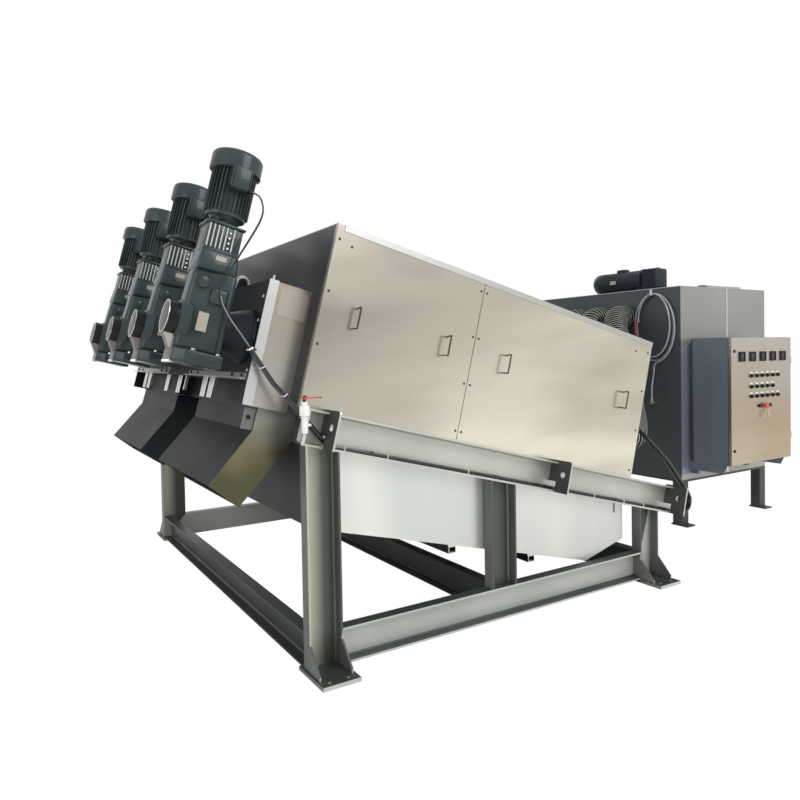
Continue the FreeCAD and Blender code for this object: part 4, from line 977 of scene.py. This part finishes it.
@dataclass
class FeedHose:
    """Corrugated hose from the tank to a screw."""

    radius: float = 0.100
    rib_pitch: float = 0.034
    hose_z: float = 1.850
    tank_x: float = 3.853
    tank_middle_y: float = 1.721
    pitch_at_tank: float = 0.267
    lead: float = 0.175
    tail: float = 0.290
    cover_end: float = 2.450
    stub: float = 0.070
    crest: float = 0.0045

    def dress(self) -> None:
        """Lays a ring of ribs along each hose's route."""
        for index, y in enumerate(SCREW_Y):
            start = SLOPE.floor(self.tank_x, self.tank_middle_y + (index - 1.5) * self.pitch_at_tank, self.hose_z)
            end = SLOPE.at(self.cover_end + self.stub, y, SCREW_B)
            way = (SLOPE.at(1, y, 0) - SLOPE.at(0, y, 0)).normalized()
            first = start + Vector((-self.lead, 0, 0))
            last = end + way * self.tail
            self.hose(index + 1, [start, first, last, end])

    def hose(self, number: int, corners: Sequence[Vector]) -> None:
        """One hose: a short ribbed ring, repeated by an Array and laid on a curve.

        Args:
            number: which screw it feeds.
            corners: its route's corners from the tank to the cover.
        """
        start, first, last, end = corners
        points = [start, start.lerp(first, 0.6), first, first.lerp(last, 0.28), first.lerp(last, 0.5),
                  first.lerp(last, 0.72), last, last.lerp(end, 0.4), end]
        path = Bench.route("hose_path", points, 4, 16)
        length = path.data.splines[0].calc_length()
        count = round(length / self.rib_pitch)
        pitch = length / count
        r = self.radius
        profile = [(0, r - 0.012), (0.26 * pitch, r - 0.0115), (0.40 * pitch, r - 0.001), (0.5 * pitch, r),
                   (0.60 * pitch, r - 0.001), (0.74 * pitch, r - 0.0115), (pitch, r - 0.012)]
        ring = Bench.turned("feed_hose_skin_" + str(number), profile, 28)
        with Bench.editing(ring):
            Bench.faces(ring, lambda middle, normal: abs(normal.z) > 0.9 and middle.xy.length < 0.01)
            bpy.ops.mesh.delete(type="ONLY_FACE")
        # Faces at the crests are marked for the painted highlight.
        light = [int(face.center.xy.length > r - self.crest) for face in ring.data.polygons]
        Bench.settle(ring, spun(90, Axis.Y))
        Bench.pick(ring)
        array = ring.modifiers.new("ribs", "ARRAY")
        array.count = count
        array.use_relative_offset = False
        array.use_constant_offset = True
        array.constant_offset_displace = (pitch, 0, 0)
        array.use_merge_vertices = True
        array.merge_threshold = 0.0005
        lay = ring.modifiers.new("route", "CURVE")
        lay.object = path
        lay.deform_axis = "POS_X"
        bpy.ops.object.modifier_apply(modifier="ribs")
        bpy.ops.object.modifier_apply(modifier="route")
        bpy.data.objects.remove(path)
        with Bench.editing(ring):
            bpy.ops.mesh.select_all(action="SELECT")
            bpy.ops.mesh.normals_make_consistent(inside=False)
        done(Bench.smooth(ring, 60), HOSE_WALL, replaces=[f"feed_hose_{number}"])
        # Second slot: the painted highlight on the crests.
        ring.data.materials.append(HOSE_RIB_HIGHLIGHT.material())
        for index, face in enumerate(ring.data.polygons):
            face.material_index = light[index % len(light)]


@dataclass
class Tank:
    """Flocculation tank with its seam, hatch knob, hook and tap."""

    x0: float = 3.853
    x1: float = 5.126
    y0: float = 0.742
    top: float = 2.080
    seam_x: float = 4.52

    def dress(self) -> None:
        """Paints the tank and adds the seam and the hatch knob."""
        paint("tank_shell", TANK_SIDE, TANK_END_SHADE, BRIGHT_STEEL, pick=self.shell_face)
        paint("tank_roof", LID_STEEL)
        # Tank stand in painted shade.
        paint("tank_stand", SHADE_DARK_GREY)
        strip = Bench.block("tank_seam_near", (self.seam_x - 0.012, self.y0 - 0.003, 0.402),
                            (self.seam_x + 0.012, self.y0, self.top), 0.001, 1)
        done(Bench.settle(strip, shift(*SLOPE.corner)), BRIGHT_STEEL)
        knob = Bench.turned("hatch_knob", [(0, 0.045), (0.020, 0.045), (0.030, 0.034), (0.032, 0.015)], 24)
        Bench.settle(knob, shift(*SLOPE.floor(self.x0 + 0.73, self.y0 + 0.29, self.top + 0.030)))
        done(Bench.smooth(knob), BLACK_RUBBER)

    def shell_face(self, middle: Vector, normal: Vector) -> int:
        """0 on a side, 1 painted shade on the front and back, 2 on the hook and the tap."""
        spot = middle - SLOPE.corner
        if spot.x < self.x0 - 0.001:
            return 2
        return int(abs(normal.x) > 0.6)


@dataclass
class MixerDrive:
    """Gearmotor lying across the tank roof."""

    x: float = 4.023
    z: float = 2.085
    y: float = 1.142

    def dress(self) -> None:
        """Pad, ribbed gear block, flange, smooth barrel and terminal box."""
        x, y, z = self.x, self.y, self.z
        axis_z = z + 0.105
        pad = Bench.block("pad", (x - 0.11, y - 0.11, z), (x + 0.11, y + 0.11, z + 0.016), 0.004)
        block = Bench.block("block", (x - 0.080, y - 0.086, z + 0.012), (x + 0.080, y + 0.086, z + 0.190), 0.014, 3)
        rib = Bench.block("rib", (-0.085, -0.003, z + 0.03), (0.085, 0.003, z + 0.195), 0.002, 1)
        ribs = [Bench.copy(rib, "rib", shift(x, y - 0.066 + 0.022 * i, 0)) for i in range(7)]
        bpy.data.objects.remove(rib)
        turn = shift(x, y + 0.09, axis_z) @ spun(-90, Axis.X)
        profile = [(-0.004, 0.101), (0.022, 0.101), (0.026, 0.095), (0.440, 0.096), (0.443, 0.098), (0.530, 0.098),
                   (0.552, 0.091), (0.565, 0.078), (0.572, 0.056)]
        barrel = Bench.settle(Bench.turned("barrel", profile, 40), turn)
        box = Bench.block("box", (x - 0.040, y + 0.300, axis_z + 0.070), (x + 0.040, y + 0.400, axis_z + 0.120), 0.014, 3)
        bumps = [Bench.block("bump", (x - 0.02, y + at, z + 0.185), (x + 0.02, y + at + 0.03, z + 0.204), 0.005)
                 for at in (-0.06, 0.02)]
        whole = Bench.joined("mixer_drive", [pad, block, barrel, box] + ribs + bumps)
        Bench.settle(whole, shift(*SLOPE.corner))
        done(Bench.smooth(whole), MIXER_PAINT, replaces=["mixer_gearmotor"])
        plate = Bench.block("mixer_plate", (x - 0.0975, y + 0.36, axis_z - 0.022), (x - 0.0925, y + 0.43, axis_z + 0.012), 0.0005, 1)
        done(Bench.settle(plate, shift(*SLOPE.corner)), PLATE)


@dataclass
class WashHose:
    """Clear hose from the tap up to its coil on the tank's hook, with the hand gun at its end."""

    diameter: float = 0.015
    length: float = 4.50
    tap: tuple[float, float, float] = (3.817, 1.015, 1.110)
    middle_y: float = 1.000
    top_z: float = 2.040
    steps: int = 16
    gun: tuple[float, float, float] = (3.8077, 1.160, 1.785)

    def dress(self) -> None:
        """Lays the hose as one curve and finishes the gun."""
        paint("spray_gun", GUN_RED)
        points = [SLOPE.floor(*point) for point in self.rise() + self.turns() + self.to_gun()]
        hose = Bench.route("wash_hose", points, 3, 6)
        hose.data.bevel_depth = self.diameter / 2
        hose.data.bevel_resolution = 4
        done(hose, HOSE_CLEAR, replaces=["wash_hose_coil", "wash_hose_tail"])
        log.info("wash hose length %.3f", hose.data.splines[0].calc_length())
        SLOPE.floor(*self.tap)

    def rise(self) -> list[Place]:
        """Upright run from the tap to the coil's bottom."""
        return [self.tap, (3.817, 1.015, 1.184), (3.8242, 1.011, 1.2603), (3.8302, 1.000, 1.3363)]

    def turns(self) -> list[Place]:
        """Two turns and three quarters of a third, each in its own layer and a little smaller."""
        laps = [(3.8302, 0.222, 1.4158), (3.8450, 0.204, 1.435), (3.8152, 0.186, 1.468), (3.8280, 0.160, 1.490)]
        points = []
        for i in range(2 * self.steps + 11):
            lap, share = divmod(i / self.steps, 1.0)
            (x0, w0, low0), (x1, w1, low1) = laps[int(lap)], laps[int(lap) + 1]
            ease = max(0.0, share - 0.75) * 4
            x = x0 + (x1 - x0) * ease
            half_w = w0 + (w1 - w0) * share
            low = low0 + (low1 - low0) * share
            half_h = (self.top_z - low) / 2
            turn = 2 * math.pi * share
            points.append((x, self.middle_y - half_w * math.sin(turn), low + half_h - half_h * math.cos(turn)))
        return points

    def to_gun(self) -> list[Place]:
        """Short end down to the gun's inlet."""
        x, y, z = self.gun
        return [(x + 0.0190, y + 0.004, z + 0.055), (x + 0.0225, y, z), (x, y, z)]


@dataclass
class Cabinet:
    """Control cabinet: dark sides, steel door with meters, buttons and locks."""

    x0: float = 3.938
    x1: float = 4.830
    z0: float = 0.566
    z1: float = 1.628
    y0: float = 0.334
    meter_z: float = 1.466
    button_rows: tuple[float, ...] = (1.303, 1.212, 1.130)
    stop_z: float = 1.045

    def dress(self) -> None:
        """Paints the box and dresses the door."""
        paint("cabinet_body", CABINET_SIDE)
        paint("cabinet_door", CABINET_FRONT)
        self.meters()
        self.buttons()
        self.locks()
        plate = Bench.block("skirt", (self.x0 + 0.010, 0.380, 0.490), (self.x0 + 0.016, 0.741, 0.566))
        with Bench.editing(plate):
            Bench.faces(plate, lambda middle, normal: normal.z < -0.9)
            bpy.ops.transform.resize(value=(1, 0.9, 1), center_override=(self.x0, 0.741, 0.490))
        skirts = [SLOPE_CORNER, SLOPE_CORNER @ shift(self.x1 - self.x0 - 0.030, 0, 0)]
        done(Bench.row(plate, "cabinet_skirts", skirts), CABINET_SIDE)

    def add(self, obj: Obj, finish: Finish) -> None:
        """Moves a piece drawn from the frame's corner into place, on the door."""
        Bench.settle(obj, shift(*SLOPE.corner))
        done(obj, finish, Body.DOOR)

    def meters(self) -> None:
        """Five square meters with a dark window in each."""
        y = self.y0
        bezel = Bench.block("bezel", (-0.040, y - 0.010, -0.041), (0.040, y, 0.041))
        with Bench.editing(bezel):
            Bench.faces(bezel, lambda middle, normal: normal.y < -0.9)
            bpy.ops.mesh.inset(thickness=0.009)
            bpy.ops.mesh.extrude_region_move(TRANSFORM_OT_translate={"value": (0, 0.004, 0)})
        dial = Bench.block("dial", (-0.017, y - 0.0068, -0.008), (0.020, y - 0.005, 0.022))
        mark = Bench.block("mark", (-0.012, y - 0.0068, -0.026), (0.016, y - 0.005, -0.016))
        places = [shift(self.x0 + 0.150 + 0.152 * i, 0, self.meter_z) for i in range(5)]
        self.add(Bench.row(bezel, "door_meters", places), BLACK_GLOSS)
        self.add(Bench.row(Bench.joined("dial", [dial, mark]), "meter_dials", places), SHADE_DARK_GREY)

    def buttons(self) -> None:
        """Three rows of black push buttons under bare label strips, and a lower row of switches."""
        y = self.y0
        turn = spun(90, Axis.X)
        button = Bench.turned("button", [(0, 0.017), (0.008, 0.017), (0.010, 0.012), (0.018, 0.012), (0.020, 0.009)], 20)
        label = Bench.block("label", (-0.016, y - 0.0012, 0.019), (0.016, y, 0.032))
        spots = [(self.x0 + 0.285 + 0.079 * i, z) for row, z in enumerate(self.button_rows)
                 for i in range(5 if row == 1 else 6)]
        self.add(Bench.smooth(Bench.row(button, "door_buttons", [shift(x, y, z) @ turn for x, z in spots])), BLACK_GLOSS)
        self.add(Bench.row(label, "door_labels", [shift(x, 0, z) for x, z in spots]), WHITE_PLASTIC)
        red = Bench.turned("door_stop_button", [(0, 0.014), (0.016, 0.014), (0.018, 0.027), (0.028, 0.027), (0.032, 0.018)], 24)
        Bench.settle(red, shift(self.x0 + 0.480, y, self.stop_z) @ turn)
        self.add(Bench.smooth(red), RED_PLASTIC)
        small = Bench.turned("small", [(0, 0.015), (0.012, 0.015), (0.014, 0.011)], 16)
        places = [shift(self.x0 + along, y, self.stop_z) @ turn for along in (0.400, 0.560)]
        self.add(Bench.smooth(Bench.row(small, "door_switches", places)), BLACK_GLOSS)
        key = Bench.block("key", (-0.006, y - 0.022, -0.105), (0.006, y - 0.019, -0.035), 0.001, 1)
        places = [shift(self.x0 + 0.480 + lean, 0, self.stop_z) @ spun(12 * way, Axis.Y)
                  for lean, way in ((-0.014, 1), (0.018, -1))]
        self.add(Bench.row(key, "door_keys", places), BRIGHT_STEEL)

    def locks(self) -> None:
        """Two quarter-turn locks on the free edge."""
        turn = spun(90, Axis.X)
        lock = Bench.turned("lock", [(0, 0.013), (0.006, 0.013), (0.008, 0.009)], 20)
        places = [shift(self.x0 + 0.045, self.y0, z) @ turn for z in (self.z1 - 0.115, self.z0 + 0.120)]
        self.add(Bench.smooth(Bench.row(lock, "door_locks", places)), SCREW_STEEL)


@dataclass
class Valve:
    """Ball valve on the white riser at the front of the near rail."""

    cap_z: float = 1.3275
    grip_x: float = 0.052

    def dress(self) -> None:
        """Paints the riser with its black cap, and the lever with its black tip."""
        paint("valve_body", WHITE_PLASTIC, BLACK_GLOSS,
              pick=lambda middle, normal: int((middle - SLOPE.corner).z > self.cap_z))
        paint("valve_lever", RED_PLASTIC)
        tip = Bench.block("lever_tip", (self.grip_x + 0.006, -0.0415, 1.3405), (self.grip_x + 0.0175, -0.0265, 1.3475), 0.001, 1)
        done(Bench.settle(tip, shift(*SLOPE.corner)), BLACK_GLOSS, Body.LEVER)


@dataclass
class Wiring:
    """Twin conduit along the near rail and the first motor's lead, with white ties."""

    tie_spots: tuple[tuple[float, float, float, float], ...] = (
        (-0.193, 0.149, 0.148, -48.0), (-0.078, 0.085, 0.037, -40.0), (0.018, 0.034, -0.045, -42.0),
        (0.263, 0.032, -0.159, 0.0), (0.518, 0.032, -0.159, 0.0), (1.050, 0.032, -0.159, 0.0),
        (2.075, 0.032, -0.159, 0.0), (2.359, 0.032, -0.159, 0.0), (2.557, 0.032, -0.159, 0.0))
    collar: tuple[float, float, float] = (-0.262, 0.181, 0.222)

    def dress(self) -> None:
        """Paints the conduit and puts a tie round both tubes at each place."""
        paint("rail_conduit", CONDUIT)
        band = Bench.block("tie", (-0.0025, -0.0225, -0.0115), (0.0025, 0.0225, 0.0115), 0.003)
        matrices = [SLOPE.matrix() @ shift(a, y, b) @ spun(-lean, Axis.Y) for a, y, b, lean in self.tie_spots]
        done(Bench.row(band, "conduit_ties", matrices), WHITE_PLASTIC)
        ring = Bench.block("collar", (-0.005, -0.0235, -0.0125), (0.005, 0.0235, 0.0125), 0.004)
        done(Bench.settle(ring, SLOPE.matrix() @ shift(*self.collar) @ spun(48, Axis.Y)), WHITE_PLASTIC)


@dataclass
class Studio:
    """Floor, light and camera."""

    eye: tuple[float, float, float] = (-1.319, -2.983, 1.548)
    yaw: float = 31.87
    pitch: float = -1.46
    roll: float = 1.01
    lens: float = 30.73
    drop: float = -0.0371

    def floor(self) -> None:
        """Wide pale floor."""
        Bench.clear()
        bpy.ops.mesh.primitive_plane_add(size=60, location=(0, 0, -0.001))
        plane = bpy.context.object
        plane.name = "floor"
        tree = Tree("floor_white")
        tree.feed(tree.shader.inputs["Base Color"], (0.92, 0.92, 0.92, 1.0))
        tree.feed(tree.shader.inputs["Roughness"], 0.9)
        rays = tree.add("ShaderNodeLightPath", {}, {})
        glow = tree.add("ShaderNodeEmission", {}, {"Color": (1, 1, 1, 1), "Strength": 1.0})
        sockets = {0: rays.outputs["Is Camera Ray"], 1: tree.shader.outputs[0], 2: glow.outputs[0]}
        mix = tree.add("ShaderNodeMixShader", {}, sockets)
        tree.links.new(mix.outputs[0], tree.nodes["Material Output"].inputs[0])
        plane.data.materials.append(tree.material)

    def lamp(self, name: str, place: Place, aim: Place, size: float, power: float) -> None:
        """Square area lamp at a place, turned to a point."""
        data = bpy.data.lights.new(name, "AREA")
        data.size = size
        data.energy = power
        obj = bpy.data.objects.new(name, data)
        obj.location = place
        obj.rotation_euler = (Vector(aim) - Vector(place)).to_track_quat("-Z", "Y").to_euler()
        bpy.context.collection.objects.link(obj)

    def light(self) -> None:
        """Even sky that shows white, a soft key from the near side and weaker fills."""
        world = bpy.data.worlds.new("studio")
        bpy.context.scene.world = world
        world.use_nodes = True
        nodes, links = world.node_tree.nodes, world.node_tree.links
        back = nodes["Background"]
        back.inputs["Color"].default_value = (1, 1, 1, 1)
        rays = nodes.new("ShaderNodeLightPath")
        seen = nodes.new("ShaderNodeMapRange")
        seen.inputs["To Min"].default_value = 0.82
        seen.inputs["To Max"].default_value = 1.0
        links.new(rays.outputs["Is Camera Ray"], seen.inputs["Value"])
        links.new(seen.outputs[0], back.inputs["Strength"])
        self.lamp("key", (2.0, -8.0, 6.5), (0, 0, 0.8), 5.0, 420)
        self.lamp("left", (-9.0, -3.0, 4.5), (0, 0, 1.0), 4.0, 110)
        self.lamp("back", (2.0, 8.0, 6.0), (0, 0, 1.0), 5.0, 200)

    def camera(self) -> None:
        """Camera at the photograph's eye point."""
        data = bpy.data.cameras.new("photo_eye")
        data.sensor_width = 36.0
        data.lens = self.lens
        data.shift_y = self.drop
        data.clip_end = 200.0
        obj = bpy.data.objects.new("photo_eye", data)
        bpy.context.collection.objects.link(obj)
        yaw, pitch, roll = (math.radians(v) for v in (self.yaw, self.pitch, self.roll))
        turn = (Matrix.Rotation(-yaw, 4, "Z") @ Matrix.Rotation(math.pi / 2 + pitch, 4, "X")
                @ Matrix.Rotation(-roll, 4, "Z"))
        obj.matrix_world = Matrix.Translation(SLOPE.corner + Vector(self.eye)) @ turn
        bpy.context.scene.camera = obj

    def set_up(self) -> None:
        """Builds the stage."""
        bpy.context.scene.view_settings.view_transform = "Standard"
        self.floor()
        self.light()
        self.camera()


def main() -> None:
    """Builds the sub-assemblies in order."""
    logging.basicConfig(level=logging.INFO, format="%(name)s %(message)s")
    for part in (Framework(), Cover(), Discharge(), GearMotor(), Tray(), Cylinders(), FeedHose(), Tank(),
                 MixerDrive(), WashHose(), Cabinet(), Valve(), Wiring()):
        part.dress()
    Studio().set_up()


if __name__ == "__main__":
    main()
